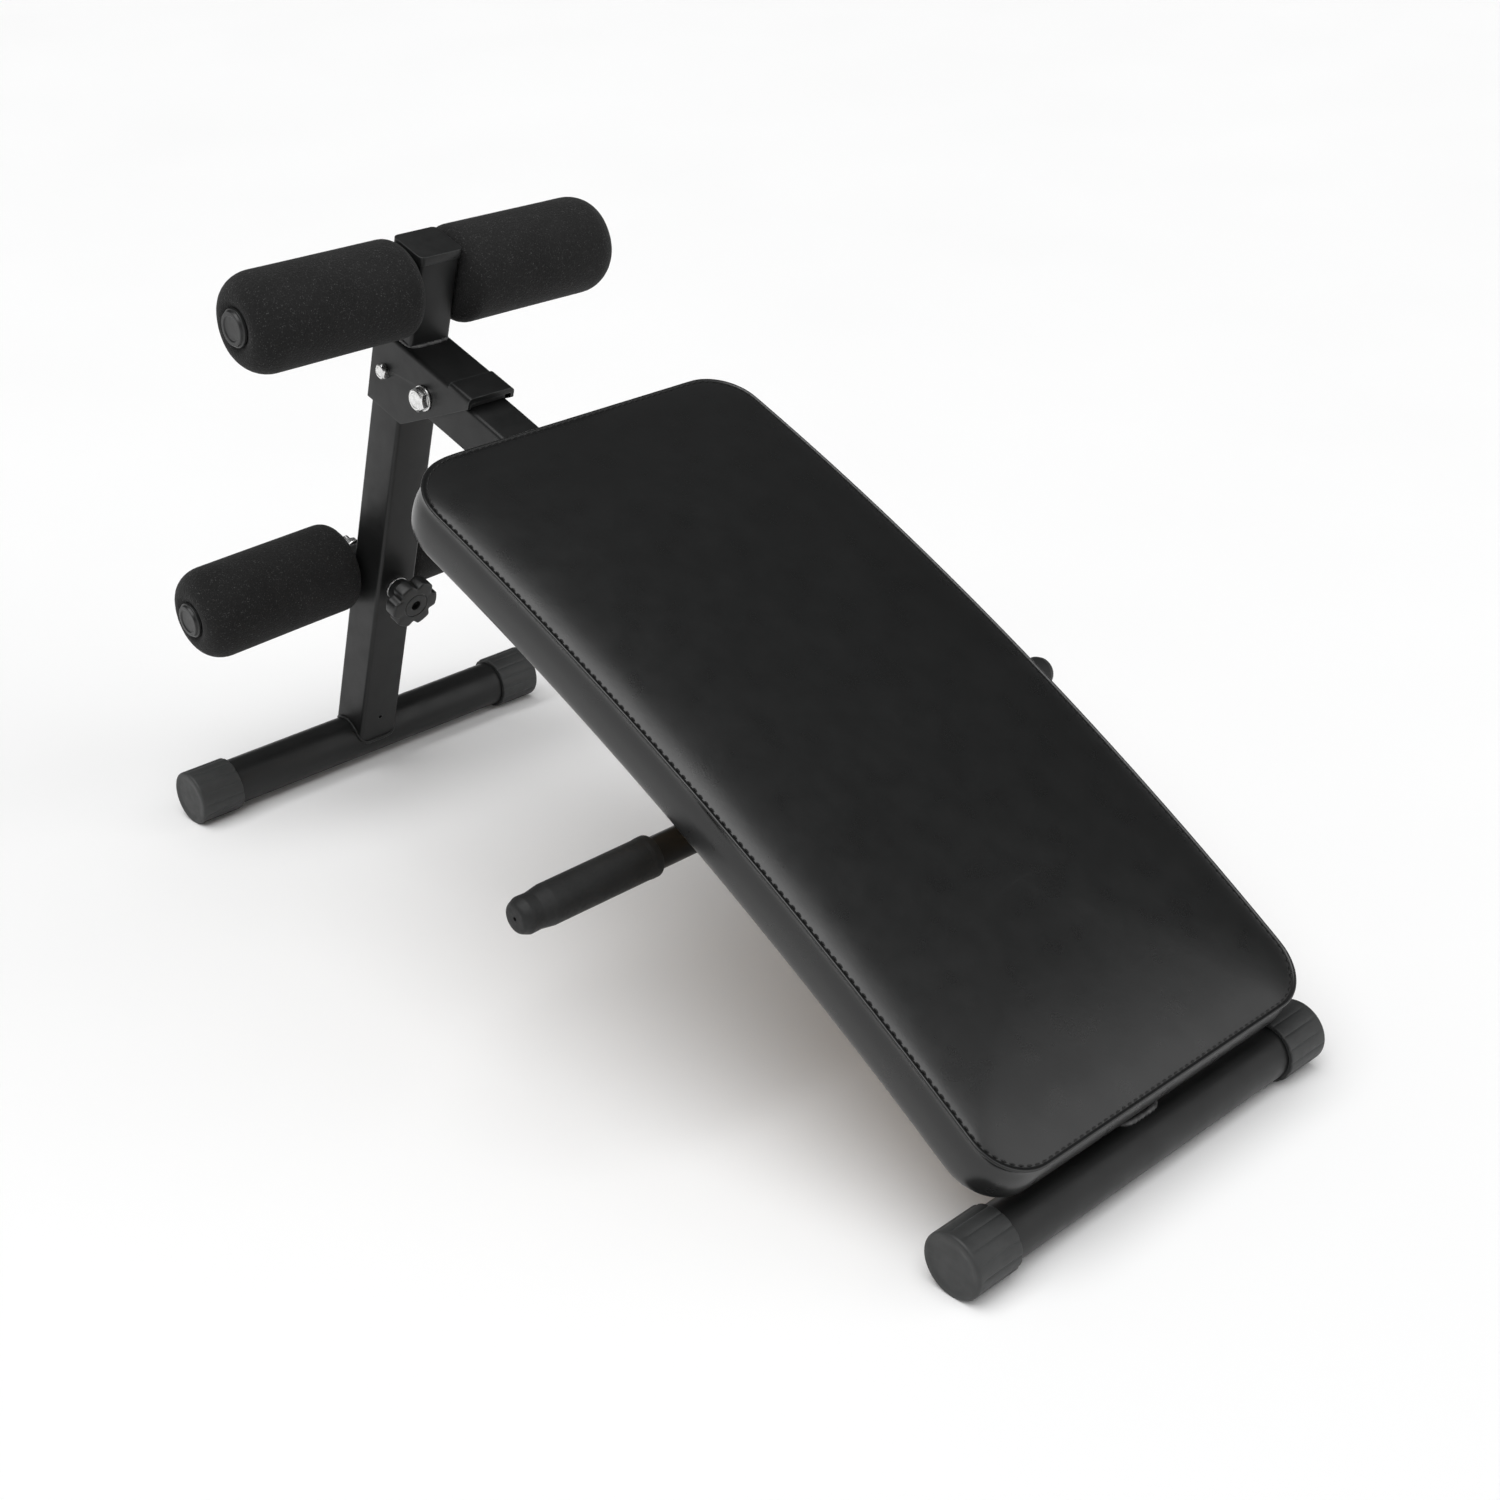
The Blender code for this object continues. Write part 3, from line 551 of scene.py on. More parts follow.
def floor_cap(end, word, side, axis, body):
    inner = FLOOR_R + GAP
    points = [(0.0, -0.4 * MM), (18.5 * MM, -0.4 * MM), (19.5 * MM, 0.0), (CAP_R, 0.0), (CAP_R, -CAP_LONG),
              (inner, -CAP_LONG), (inner, -5 * MM), (0.0, -5 * MM)]
    profile = fine_steps(rounded(points, {3: 2.6 * MM, 4: 1.2 * MM}, 6), 4 * MM)
    bm = spin(profile, 168, rib_shape)
    matrix = move((axis.x, side * CAP_FACE, axis.z)) @ outward(side)
    for vert in bm.verts:
        world = matrix @ vert.co
        if world.z < 0.0:
            world.z = 0.0
            vert.co = matrix.inverted() @ world
    place(f"{end}_foot_cap_{word}", bm, matrix, RUBBER, body, [f"{end}_cap_{word}"], smooth=48)


def fine_steps(profile, longest):
    """Splits long runs of a profile, so that a shape can change along them."""
    made = [profile[0]]
    for first, second in zip(profile, profile[1:]):
        run = math.dist(first, second)
        parts = max(1, math.ceil(run / longest))
        for k in range(1, parts + 1):
            t = k / parts
            made.append((first[0] + (second[0] - first[0]) * t, first[1] + (second[1] - first[1]) * t))
    return made


# Post, bracket and stub

def upright_post():
    half, inner = SQUARE / 2, SQUARE / 2 - WALL
    post = place("post", round_block((-half, -half, POST_FOOT), (half, half, POST_TOP), 2, CORNER, 6), POST,
                 COAT, REAR, ["upright_post"])
    hollow = round_block((-inner, -inner, -THROUGH), (inner, inner, POST_TOP + THROUGH), 2, 1.5 * MM, 3)
    combine(post, hollow, POST)
    combine(post, cylinder(FLOOR_R + GAP, -2 * THROUGH, 2 * THROUGH, 96), POST @ outward(1))
    combine(post, cylinder(SCREW_HOLE, -THROUGH, THROUGH, 32), SCREW_SPOT)
    combine(post, cylinder(BOLT_HOLE, -THROUGH, THROUGH, 32), SIDE_BOLT_SPOT @ outward(1))
    combine(post, cylinder(1.9 * MM, -5 * MM, 5 * MM, 24), at_post(half, 0, POST_VENT) @ ALONG_SCREW)


def channel(x0, x1, z0, z1, half, bend):
    """A block along x whose two upper edges are rounded."""
    bm = block((x0, -half, z0), (x1, half, z1))
    top = []
    for edge in bm.edges:
        first, second = edge.verts[0].co, edge.verts[1].co
        if min(first.z, second.z) > (z0 + z1) / 2 and abs(first.y - second.y) < half:
            top.append(edge)
    bmesh.ops.bevel(bm, geom=top, offset=bend, segments=6, profile=0.5, affect="EDGES")
    return bm


def hinge_bracket():
    """Folded sheet: an inverted U with rounded bends and a raised tab at its front."""
    outer, inner, past = SQUARE / 2 + GAP + SHEET, SQUARE / 2 + GAP, 10 * MM
    shell = channel(BRACKET_REAR, BRACKET_FRONT, BRACKET_LOW, BRACKET_TOP, outer, BRACKET_BEND)
    tab = channel(TAB_FROM, BRACKET_FRONT, BRACKET_TOP - 15 * MM, BRACKET_TOP + TAB_RISE, outer, BRACKET_BEND)
    hollow = channel(BRACKET_REAR - past, BRACKET_FRONT + past, BRACKET_LOW - past, BRACKET_TOP - SHEET,
                     inner, 1.5 * MM)
    bracket = place("bracket", shell, POST, COAT, REAR, ["hinge_bracket"])
    combine(bracket, tab, POST, "UNION")
    combine(bracket, hollow, POST)
    rise, run = BRACKET_TOP - BRACKET_LIP - BRACKET_LOW, BRACKET_FRONT - SLOPE_START
    turn = Matrix.Rotation(-math.atan2(rise, run), 4, "Y")
    slope = move((SLOPE_START, 0, BRACKET_LOW)) @ turn
    combine(bracket, block((-0.2, -0.05, -0.1), (0.2, 0.05, 0.0)), POST @ slope)
    combine(bracket, cylinder(BOLT_HOLE, -THROUGH, THROUGH, 32), SIDE_BOLT_SPOT @ outward(1))
    combine(bracket, cylinder(PIVOT_HOLE, -THROUGH, THROUGH, 32), PIVOT_SPOT @ outward(1))
    soften(bracket, 0.7 * MM, 3, 50)
    freeze(bracket)


def roller_stub():
    half_x, half_y, base = STUB_DEPTH / 2, SQUARE / 2, BRACKET_TOP + GAP
    spot = at_post(STUB_X, 0, 0)
    tube = round_block((-half_x, -half_y, base), (half_x, half_y, STUB_TOP), 2, CORNER, 6)
    stub = place("stub", tube, spot, COAT, REAR, ["roller_post"])
    in_x, in_y, past = half_x - WALL, half_y - WALL, 10 * MM
    hollow = round_block((-in_x, -in_y, base - past), (in_x, in_y, STUB_TOP + past), 2, 1.5 * MM, 3)
    combine(stub, hollow, spot)
    bar = move((UPPER_AXIS.x, 0, UPPER_AXIS.z)) @ outward(1)
    combine(stub, cylinder(BAR_R + GAP, -THROUGH, THROUGH), bar)
    skirt = 1.4 * MM
    lid_x, lid_y, low = half_x + skirt, half_y + skirt, STUB_TOP - 3.2 * MM
    cover = round_block((-lid_x, -lid_y, low), (lid_x, lid_y, STUB_CAP_TOP), 2, CORNER + skirt, 6)
    lid = place("stub_cap", cover, spot, PLASTIC, REAR, ["roller_post_cap"])
    seat_x, seat_y = half_x + GAP, half_y + GAP
    combine(lid, round_block((-seat_x, -seat_y, STUB_TOP - 20 * MM), (seat_x, seat_y, STUB_TOP + GAP), 2,
                             CORNER, 6), spot)
    soften(lid, 1.6 * MM, 4, 50)
    freeze(lid)


# Fasteners

def hex_head(name, across_flats, height, matrix, body, nodes):
    """Chamfered hex with a slightly dished top."""
    tip = across_flats / math.sqrt(3)
    bm = bmesh.new()
    bmesh.ops.create_cone(bm, cap_ends=True, segments=6, radius1=tip, radius2=tip, depth=height,
                          matrix=move((0, 0, height / 2)))
    head = place(name, bm, matrix, ZINC, body, nodes)
    dome = rounded([(0.0, height), (across_flats * 0.44, height), (tip, height * 0.72), (tip, 0.0),
                    (0.0, 0.0)], {1: 0.8 * MM, 2: 1.2 * MM})
    combine(head, spin(dome, 48), matrix, "INTERSECT")
    dish = spin([(0.0, height + 1 * MM), (across_flats * 0.38, height + 1 * MM),
                 (across_flats * 0.36, height - 0.1 * MM), (across_flats * 0.30, height - 0.45 * MM),
                 (0.0, height - 0.45 * MM)], 48)
    combine(head, dish, matrix)
    soften(head, 0.25 * MM, 2, 50)
    freeze(head)
    return head


def threaded_end(name, radius, z0, z1, matrix, body):
    """A short run of screw thread: fine rings with a rounded point."""
    profile = [(0.0, z1), (radius * 0.7, z1), (radius * 0.88, z1 - 0.6 * MM)]
    pitch = 1.25 * MM
    z = z1 - 0.9 * MM
    while z > z0 + pitch:
        profile += [(radius, z), (radius * 0.86, z - pitch / 2)]
        z -= pitch
    profile += [(radius * 0.86, z0), (0.0, z0)]
    place(name, spin(profile, 32), matrix, ZINC, body, smooth=20)


def on_face(spot, side, distance):
    return spot @ move((0, side * distance, 0)) @ outward(side)


def washer(name, hole, radius, thick, edge, matrix, body, node):
    profile = rounded([(hole, thick), (radius, thick), (radius, 0), (hole, 0)], {1: edge, 2: 0.4 * MM})
    place(name, spin(profile, 48), matrix, ZINC, body, [node])


def fasteners():
    face, thick = SQUARE / 2 + 2 * GAP + SHEET, 1.8 * MM
    left, right = on_face(SIDE_BOLT_SPOT, -1, face), on_face(SIDE_BOLT_SPOT, 1, face)
    hex_head("side_bolt_head", 12 * MM, 5 * MM, left, REAR, ["bracket_bolt"])
    hex_head("side_bolt_nut", 13 * MM, 6.5 * MM, right, REAR, ["bracket_nut"])
    threaded_end("side_bolt_end", 4 * MM, 5.5 * MM, 9.5 * MM, right, REAR)
    for side, word in SIDES:
        spot = on_face(PIVOT_SPOT, side, face)
        washer("big_washer_" + word, PIVOT_HOLE, 11 * MM, thick, 0.6 * MM, spot, REAR,
               "pivot_washer_" + word)
    left, right = (on_face(PIVOT_SPOT, side, face + thick + GAP) for side, word in SIDES)
    hex_head("pivot_bolt_head", 18.5 * MM, 6.5 * MM, left, REAR, ["pivot_bolt"])
    hex_head("pivot_lock_nut", 17 * MM, 9.5 * MM, right, REAR, ["pivot_nut"])
    threaded_end("pivot_bolt_end", 5 * MM, 8.5 * MM, 12.6 * MM, right, REAR)


# Rollers

def foam_profile(inner):
    """Sleeve section from the outer end, over the round shoulders, to the inner end."""
    outer, r = FOAM_OUTER, FOAM_R
    made = [(12.9 * MM, outer - 3 * MM), (15.8 * MM, outer - 2.2 * MM), (18.0 * MM, outer - 0.5 * MM)]
    for k in range(11):
        turn = math.pi / 2 * k / 10
        made.append((r - 19 * MM + 19 * MM * math.sin(turn), outer - 24 * MM + 24 * MM * math.cos(turn)))
    made += [(r, outer - 24 * MM - k * 11 * MM) for k in range(1, 11)]
    for k in range(9):
        turn = math.pi / 2 * k / 8
        made.append((r - 13 * MM + 13 * MM * math.cos(turn), inner + 13 * MM - 13 * MM * math.sin(turn)))
    made += [(20 * MM, inner + 0.3 * MM), (12.9 * MM, inner + 0.8 * MM)]
    return made


def squeeze(radius, z, turn):
    """Foam is never quite round: two slow waves of a fraction of a millimetre."""
    if radius < 30 * MM:
        return radius
    return radius + 0.2 * MM * math.sin(2 * turn + z * 18) + 0.12 * MM * math.sin(5 * turn - z * 31)


def roller(level, centre):
    bar = place(level + "_bar", pipe(BAR_R, BAR_R - BAR_WALL, -BAR_HALF, BAR_HALF), centre @ outward(1), COAT,
                REAR, [level + "_roller_bar"])
    if level == "lower":
        combine(bar, cylinder(SCREW_HOLE, -2 * THROUGH, 0.0, 32), SCREW_SPOT)
    for side, word in SIDES:
        profile = foam_profile(FOAM_INNER[level])
        sleeve = place(f"{level}_sleeve_{word}", spin(profile, 96, squeeze), centre @ outward(side), FOAM,
                       f"{level}_roller_{word}", [f"{level}_foam_{word}"], smooth=60)
        end_plug(level, word, centre @ outward(side))


def end_plug(level, word, matrix):
    """Bar plug: a stepped flange with a rim and a shallow recess in its face."""
    face, under = PLUG_FACE, PLUG_UNDER
    points = [(0.0, face - 0.9 * MM), (9.6 * MM, face - 0.9 * MM), (10.6 * MM, face), (13.6 * MM, face),
              (14.2 * MM, face - 2.2 * MM), (15.5 * MM, face - 2.6 * MM), (15.5 * MM, under),
              (10.7 * MM, under), (10.7 * MM, under - PLUG_DEEP), (0.0, under - PLUG_DEEP)]
    profile = rounded(points, {1: 0.6 * MM, 2: 0.5 * MM, 3: 0.9 * MM, 4: 0.5 * MM, 5: 0.8 * MM})
    place(f"{level}_plug_{word}", spin(profile, 64), matrix, PLASTIC, REAR,
          [f"{level}_end_plug_{word}"])


# Clamp knob

def knob_shape(radius, z, turn):
    """Six broad lobes with hollows between them, gone on the hub and the face ring."""
    lobes = max(0.0, min(1.0, (radius - 12.5 * MM) / (6 * MM)))
    hollow = max(0.0, math.cos(6 * turn)) ** 1.5
    return radius + lobes * (1.4 - 4.6 * hollow) * MM


def clamp_knob():
    front, face, rim = KNOB_FRONT, SQUARE / 2 + GAP, KNOB_RIM
    points = [(0.0, front - 5 * MM), (4.6 * MM, front - 5 * MM), (4.8 * MM, front), (10.6 * MM, front),
              (11.0 * MM, front - 0.8 * MM), (12.0 * MM, front - 0.8 * MM), (12.4 * MM, front),
              (rim, front - 0.3 * MM), (rim, front - 14.5 * MM), (12.5 * MM, front - 15.5 * MM),
              (11.0 * MM, front - 17 * MM), (10.8 * MM, face + 1.9 * MM), (0.0, face + 1.9 * MM)]
    profile = rounded(points, {2: 0.4 * MM, 3: 0.4 * MM, 6: 0.4 * MM, 7: 2.6 * MM, 8: 3.0 * MM, 9: 2.5 * MM,
                               10: 1.5 * MM}, 6)
    place("star_knob", spin(profile, 144, knob_shape), SCREW_SPOT, PLASTIC, "clamp_knob", ["knob"], smooth=40)
    radius, high, low = 4 * MM, 43 * MM, -50 * MM
    place("knob_rod", spin([(0.0, high), (radius, high), (radius, low), (0.0, low)], 32), SCREW_SPOT, ZINC,
          "clamp_knob", ["knob_screw"])
    backwards = Matrix.Rotation(math.pi, 4, "X")
    threaded_end("knob_rod_end", radius, 50.2 * MM, 62 * MM, SCREW_SPOT @ backwards, "clamp_knob")
    seat = SCREW_SPOT @ move((0, 0, face))
    washer("knob_seat_washer", BOLT_HOLE, 11 * MM, 1.6 * MM, 0.5 * MM, seat, "clamp_carrier", "knob_washer")
    rear = in_post(LOWER_CENTRE).x - BAR_R - GAP
    behind = SCREW_SPOT @ move((0, 0, rear)) @ backwards
    washer("rear_washer", BOLT_HOLE, 8.5 * MM, 1.5 * MM, 0.4 * MM, behind, REAR, "lock_washer")
    nut = hex_head("rear_nut", 13 * MM, 6.5 * MM, behind @ move((0, 0, 1.8 * MM)), REAR,
                   ["lock_nut"])
    combine(nut, cylinder(BOLT_HOLE, -5 * MM, 12 * MM, 32), behind)


# Beam and handle

def bent(bm, s0, s1):
    """Cuts a flat bmesh in beam coordinates into stations and lays it along the arch, in the world."""
    step = 20 * MM
    station = max(0.0, math.floor(s0 / step) * step)
    while station < s1 - 2 * MM:
        if station > s0 + 2 * MM:
            parts = bm.verts[:] + bm.edges[:] + bm.faces[:]
            bmesh.ops.bisect_plane(bm, geom=parts, dist=1e-6, plane_co=(station, 0, 0), plane_no=(1, 0, 0))
        station += step
    for vert in bm.verts:
        vert.co = bend_point(*vert.co)
    return bm


def main_beam():
    half, inner, stop = SQUARE / 2, SQUARE / 2 - WALL, along_beam(FRONT_AXIS) - BEAM_SETBACK
    flat = round_block((BEAM_START, -half, -SQUARE), (stop, half, 0.0), 0, CORNER, 6)
    beam = place("arched_beam", bent(flat, BEAM_START, stop), HERE, COAT, BENCH, ["main_beam"], smooth=30)
    past = stop + THROUGH
    core = round_block((BEAM_START - THROUGH, -inner, WALL - SQUARE), (past, inner, -WALL), 0, 1.5 * MM, 2)
    combine(beam, bent(core, BEAM_START, past), HERE)
    combine(beam, cylinder(FLOOR_R + GAP, -2 * THROUGH, 2 * THROUGH, 96),
            move(FRONT_AXIS) @ outward(1))
    combine(beam, cylinder(7 * MM, -THROUGH, THROUGH, 48), PIVOT_SPOT @ outward(1))
    freeze(beam, 30)


def handle():
    spot = move(HANDLE_AXIS)
    place("handle_tube", pipe(BAR_R, BAR_R - BAR_WALL, -HANDLE_HALF, HANDLE_HALF), spot @ outward(1), COAT,
          BENCH, ["handle_bar"])
    end, inner, bore = GRIP_END, GRIP_INNER, BAR_R + GAP
    for side, word in SIDES:
        points = [(1.6 * MM, end - 6 * MM), (1.6 * MM, end), (11.0 * MM, end), (14.0 * MM, end - 7 * MM),
                  (13.7 * MM, end - 16 * MM), (15.4 * MM, end - 27 * MM), (15.5 * MM, inner + 9 * MM),
                  (15.9 * MM, inner + 6 * MM), (15.9 * MM, inner), (bore, inner),
                  (bore, HANDLE_HALF + GAP), (1.6 * MM, HANDLE_HALF + GAP)]
        radii = {2: 4 * MM, 3: 4 * MM, 4: 6 * MM, 5: 8 * MM, 6: 3 * MM, 7: 2 * MM, 8: 1.6 * MM}
        place("hand_grip_" + word, spin(rounded(points, radii), 72), spot @ outward(side), GRIP, BENCH,
              ["grip_" + word], smooth=50)


# Welds

def square_loop(half_x, half_y):
    """Points round a rectangle with rounded corners: a superellipse."""
    count, power = 96, 6.0
    points = []
    for k in range(count):
        turn = 2 * math.pi * (k + 0.5) / count
        c, s = math.cos(turn), math.sin(turn)
        scale = (abs(c) ** power + abs(s) ** power) ** (-1 / power)
        points.append((half_x * c * scale, half_y * s * scale))
    return points


def welds():
    half = SQUARE / 2 + 0.6 * MM
    foot = []
    for x, y in square_loop(half, half):
        z = math.sqrt(max((FLOOR_R + 0.6 * MM) ** 2 - x * x, (4 * MM) ** 2))
        foot.append(POST @ Vector((x, y, z)))
    bead = sweep(foot, 1.6 * MM, 0.12, 4 * MM, closed=True)
    place("weld_post_foot", bead, HERE, COAT, REAR, smooth=60)
    base = [at_post(STUB_X + x, y, BRACKET_TOP + 0.7 * MM).translation
            for x, y in square_loop(STUB_DEPTH / 2 + 0.6 * MM, SQUARE / 2 - 0.4 * MM)]
    bead = sweep(base, 1.7 * MM, 0.16, 3.5 * MM, closed=True)
    place("weld_stub", bead, HERE, WELD, REAR, smooth=60)
    beam_weld()
    reach, steps = BAR_R + 0.7 * MM, 24
    for side, word in SIDES:
        arc = []
        for k in range(steps + 1):
            turn = math.radians(-60 + 120 * k / steps)
            drop = SQUARE + GAP + BAR_R - reach * math.cos(turn)
            along = along_beam(HANDLE_AXIS) + reach * math.sin(turn)
            arc.append(bend_point(along, side * (SQUARE / 2 - 2.2 * MM), -max(drop, SQUARE + 0.2 * MM)))
        place("weld_handle_" + word, sweep(arc, 2.0 * MM, 0.16, 3.5 * MM), HERE, WELD, BENCH, smooth=60)


def beam_weld():
    """Bead where the beam's walls meet the front tube."""
    tube, half, middle_r = in_post(FRONT_AXIS), SQUARE / 2 + 0.5 * MM, ARCH_R - SQUARE / 2
    offset = math.hypot(tube.x - ARC_X, tube.z - (BEAM_TOP - ARCH_R)) - middle_r
    points = []
    for y, n in square_loop(half, half):
        drop = n - offset
        reach = math.sqrt(max((FLOOR_R + 0.7 * MM) ** 2 - drop * drop, (9 * MM) ** 2))
        along = along_beam(FRONT_AXIS) - reach * (ARCH_R / (middle_r + n))
        points.append(bend_point(along, y, n - SQUARE / 2))
    bead = sweep(points, 2.2 * MM, 0.16, 4 * MM, closed=True)
    place("weld_front_tube", bead, HERE, WELD, BENCH, smooth=60)


# Pad

def outline(side=60, end=26, bend=12):
    """Seam outline in (s, y), with rounded corners, evenly enough spaced for cloth."""
    half, r = PAD_WIDTH / 2, PAD_CORNER
    s0, s1, quarter = PAD_START, PAD_END, math.pi / 2
    points = straight((s0 + r, -half), (s1 - r, -half), side) + corner((s1 - r, r - half), -quarter, bend)
    points += straight((s1, r - half), (s1, half - r), end) + corner((s1 - r, half - r), 0.0, bend)
    points += straight((s1 - r, half), (s0 + r, half), side) + corner((s0 + r, half - r), quarter, bend)
    points += straight((s0, half - r), (s0, r - half), end) + corner((s0 + r, r - half), 2 * quarter, bend)
    return [rear_left(point) for point in points]


def straight(a, b, count):
    parts = [k / count for k in range(count)]
    return [(a[0] + (b[0] - a[0]) * t, a[1] + (b[1] - a[1]) * t) for t in parts]


def corner(centre, start, count):
    """A quarter circle round a centre."""
    turns = [start + math.pi / 2 * k / count for k in range(count)]
    r, (x, y) = PAD_CORNER, centre
    return [(x + r * math.cos(turn), y + r * math.sin(turn)) for turn in turns]


def rear_left(point):
    """The rear left corner is rounder than the other three."""
    centre = Vector((PAD_START + REAR_LEFT_CORNER, REAR_LEFT_CORNER - PAD_WIDTH / 2))
    away = Vector(point) - centre
    if away.x >= 0.0 or away.y >= 0.0:
        return point
    return tuple(centre + away.normalized() * REAR_LEFT_CORNER)


def ring_point(point, inset):
    """Moves an outline point inwards, towards the pad's middle line."""
    half = PAD_WIDTH / 2
    mid = min(max(point[0], PAD_START + half), PAD_END - half)
    t = 1 - inset / half
    return mid + (point[0] - mid) * t, point[1] * t


# (inset, height) in millimetres: down the side band, under the hem and up round the board
SIDE_RINGS = ((0.9, 43.6), (1.7, 42.0), (1.5, 39.5), (0.4, 36.0), (-0.7, 32.0), (-1.5, 28.0), (-1.9, 23.5),
              (-2.1, 18.5), (-1.9, 13.5), (-0.9, 9.0), (1.2, 6.0), (4.2, 4.0), (8.5, 3.0), (20.0, 2.4),
              (33.0, 2.4), (34.0, 2.8), (33.0, 3.25), (20.0, 3.3), (13.5, 3.3), (13.5, 8.0), (13.5, 14.6),
              (22.0, 14.9), (60.0, 15.2), (110.0, 15.3))
# The piped edge and the groove inside it
TOP_RINGS = ((0.0, 44.7), (0.6, 45.7), (1.5, 46.0), (2.4, 45.5), (3.1, 45.0))
SHOULDER_RINGS = (8.0, 5.6, 4.2)
BAND_RINGS = 9
CROWN_STEP, CROWN_RINGS = 7.0, 23
FREEDOM = {"top": 1.0, "side": 0.2, "seam": 0.0, "under": 0.0}


def crown(inset):
    """Height of the top panel over its seam, in millimetres."""
    return 45.1 + 6.6 * (1 - math.exp(-(inset - 3.3) / 15.0)) + 0.004 * inset


def pad_rings():
    """(inset, height, kind) of each ring from the middle of the top to the middle of the underside."""
    half = PAD_WIDTH / 2 / MM
    made = [(inset, crown(inset), "top") for inset in (half - CROWN_STEP * k for k in range(CROWN_RINGS))]
    made += [(inset, crown(inset), "seam") for inset in SHOULDER_RINGS]
    made += [(inset, height, "seam") for inset, height in reversed(TOP_RINGS)]
    made += [(inset, height, "side") for inset, height in SIDE_RINGS[:BAND_RINGS]]
    made += [(inset, height, "under") for inset, height in SIDE_RINGS[BAND_RINGS:]]
    made.append((half, 15.3, "under"))
    return made


def pad_mesh():
    bm = bmesh.new()
    free = bm.verts.layers.float.new("free")
    points = outline()
    rings = []
    for inset, height, kind in pad_rings():
        ring = []
        for point in points:
            s, y = ring_point(point, inset * MM)
            vert = bm.verts.new(bend_point(s, y, height * MM))
            vert[free] = FREEDOM[kind]
            ring.append(vert)
        rings.append(ring)
    for first, second in zip(rings, rings[1:]):
        join_rings(bm, first, second)
    return bm


def seat_pad():
    """The upholstery: crowned top panel, sewn edge, bulging side band, hem turned under the board."""
    bm = pad_mesh()
    bmesh.ops.remove_doubles(bm, verts=bm.verts, dist=0.05 * MM)
    bmesh.ops.dissolve_degenerate(bm, edges=bm.edges, dist=1e-6)
    pad = place("upholstery", bm, HERE, VINYL, BENCH, ["pad_cushion"], smooth=80)
    inflate(pad)
    smooth = pad.modifiers.new("Smooth", "SUBSURF")
    smooth.levels = 1
    smooth.render_levels = 1
    freeze(pad, 80)


PRESSURE, CLOTH_FRAMES, SPREADS, LONGEST_TRAVEL = 2.5, 20, 12, 5 * MM


def inflate(pad):
    """Cloth pressure swells the panels between their seams; the travel of each point is capped."""
    mesh = pad.data
    weights = [d.value for d in mesh.attributes["free"].data]
    rest = [v.co.copy() for v in mesh.vertices]
    copy = bpy.data.objects.new("inflating", mesh.copy())
    show(copy)
    pinned = copy.vertex_groups.new(name="pinned")
    for i, weight in enumerate(weights):
        pinned.add([i], 1.0 - weight, "REPLACE")
    cloth = copy.modifiers.new("Cloth", "CLOTH")
    cloth.settings.use_pressure = True
    cloth.settings.uniform_pressure_force = PRESSURE
    cloth.settings.vertex_group_mass = "pinned"
    cloth.settings.tension_stiffness = 25.0
    cloth.settings.compression_stiffness = 25.0
    cloth.settings.shear_stiffness = 12.0
    cloth.settings.bending_stiffness = 8.0
    cloth.settings.effector_weights.gravity = 0.0
    scene = bpy.context.scene
    for step in range(1, CLOTH_FRAMES + 1):
        scene.frame_set(step)
    graph = bpy.context.evaluated_depsgraph_get()
    moved = copy.evaluated_get(graph).data
    shifts = [vert.co - start for vert, start in zip(moved.vertices, rest)]
    for step in range(SPREADS):
        shifts = spread(mesh, shifts)
    for vert, start, shift, weight in zip(mesh.vertices, rest, shifts, weights):
        if shift.length > LONGEST_TRAVEL:
            shift = shift * (LONGEST_TRAVEL / shift.length)
        vert.co = start + shift * min(1.0, weight * 1.2)
    scene.frame_set(1)
    bpy.data.objects.remove(copy, do_unlink=True)
    mesh.update()


def spread(mesh, shifts):
    """Each point's travel becomes the mean of its neighbours' travel, so that no crease is left."""
    sums = [Vector() for shift in shifts]
    counts = [0] * len(shifts)
    for edge in mesh.edges:
        first, second = edge.vertices
        sums[first] += shifts[second]
        sums[second] += shifts[first]
        counts[first] += 1
        counts[second] += 1
    return [total / count for total, count in zip(sums, counts)]


def along_path(path, lengths, distance):
    """The point of a closed path at a distance from its start."""
    distance %= lengths[-1]
    low = bisect.bisect_right(lengths, distance) - 1
    t = (distance - lengths[low]) / (lengths[low + 1] - lengths[low])
    return path[low].lerp(path[(low + 1) % len(path)], t)


def stitches():
    """Sewn line just inside the top seam: short threads that dip into the vinyl at both ends."""
    path = [Vector(ring_point(point, STITCH_INSET)) for point in outline(240, 104, 24)]
    lengths = [0.0]
    for first, second in zip(path, path[1:] + path[:1]):
        lengths.append(lengths[-1] + (second - first).length)
    count = round(lengths[-1] / STITCH_PITCH)
    bm = bmesh.new()
    for n in range(count):
        one_stitch(bm, path, lengths, n * lengths[-1] / count)
    place("pad_stitching", bm, HERE, THREAD, BENCH, smooth=70)


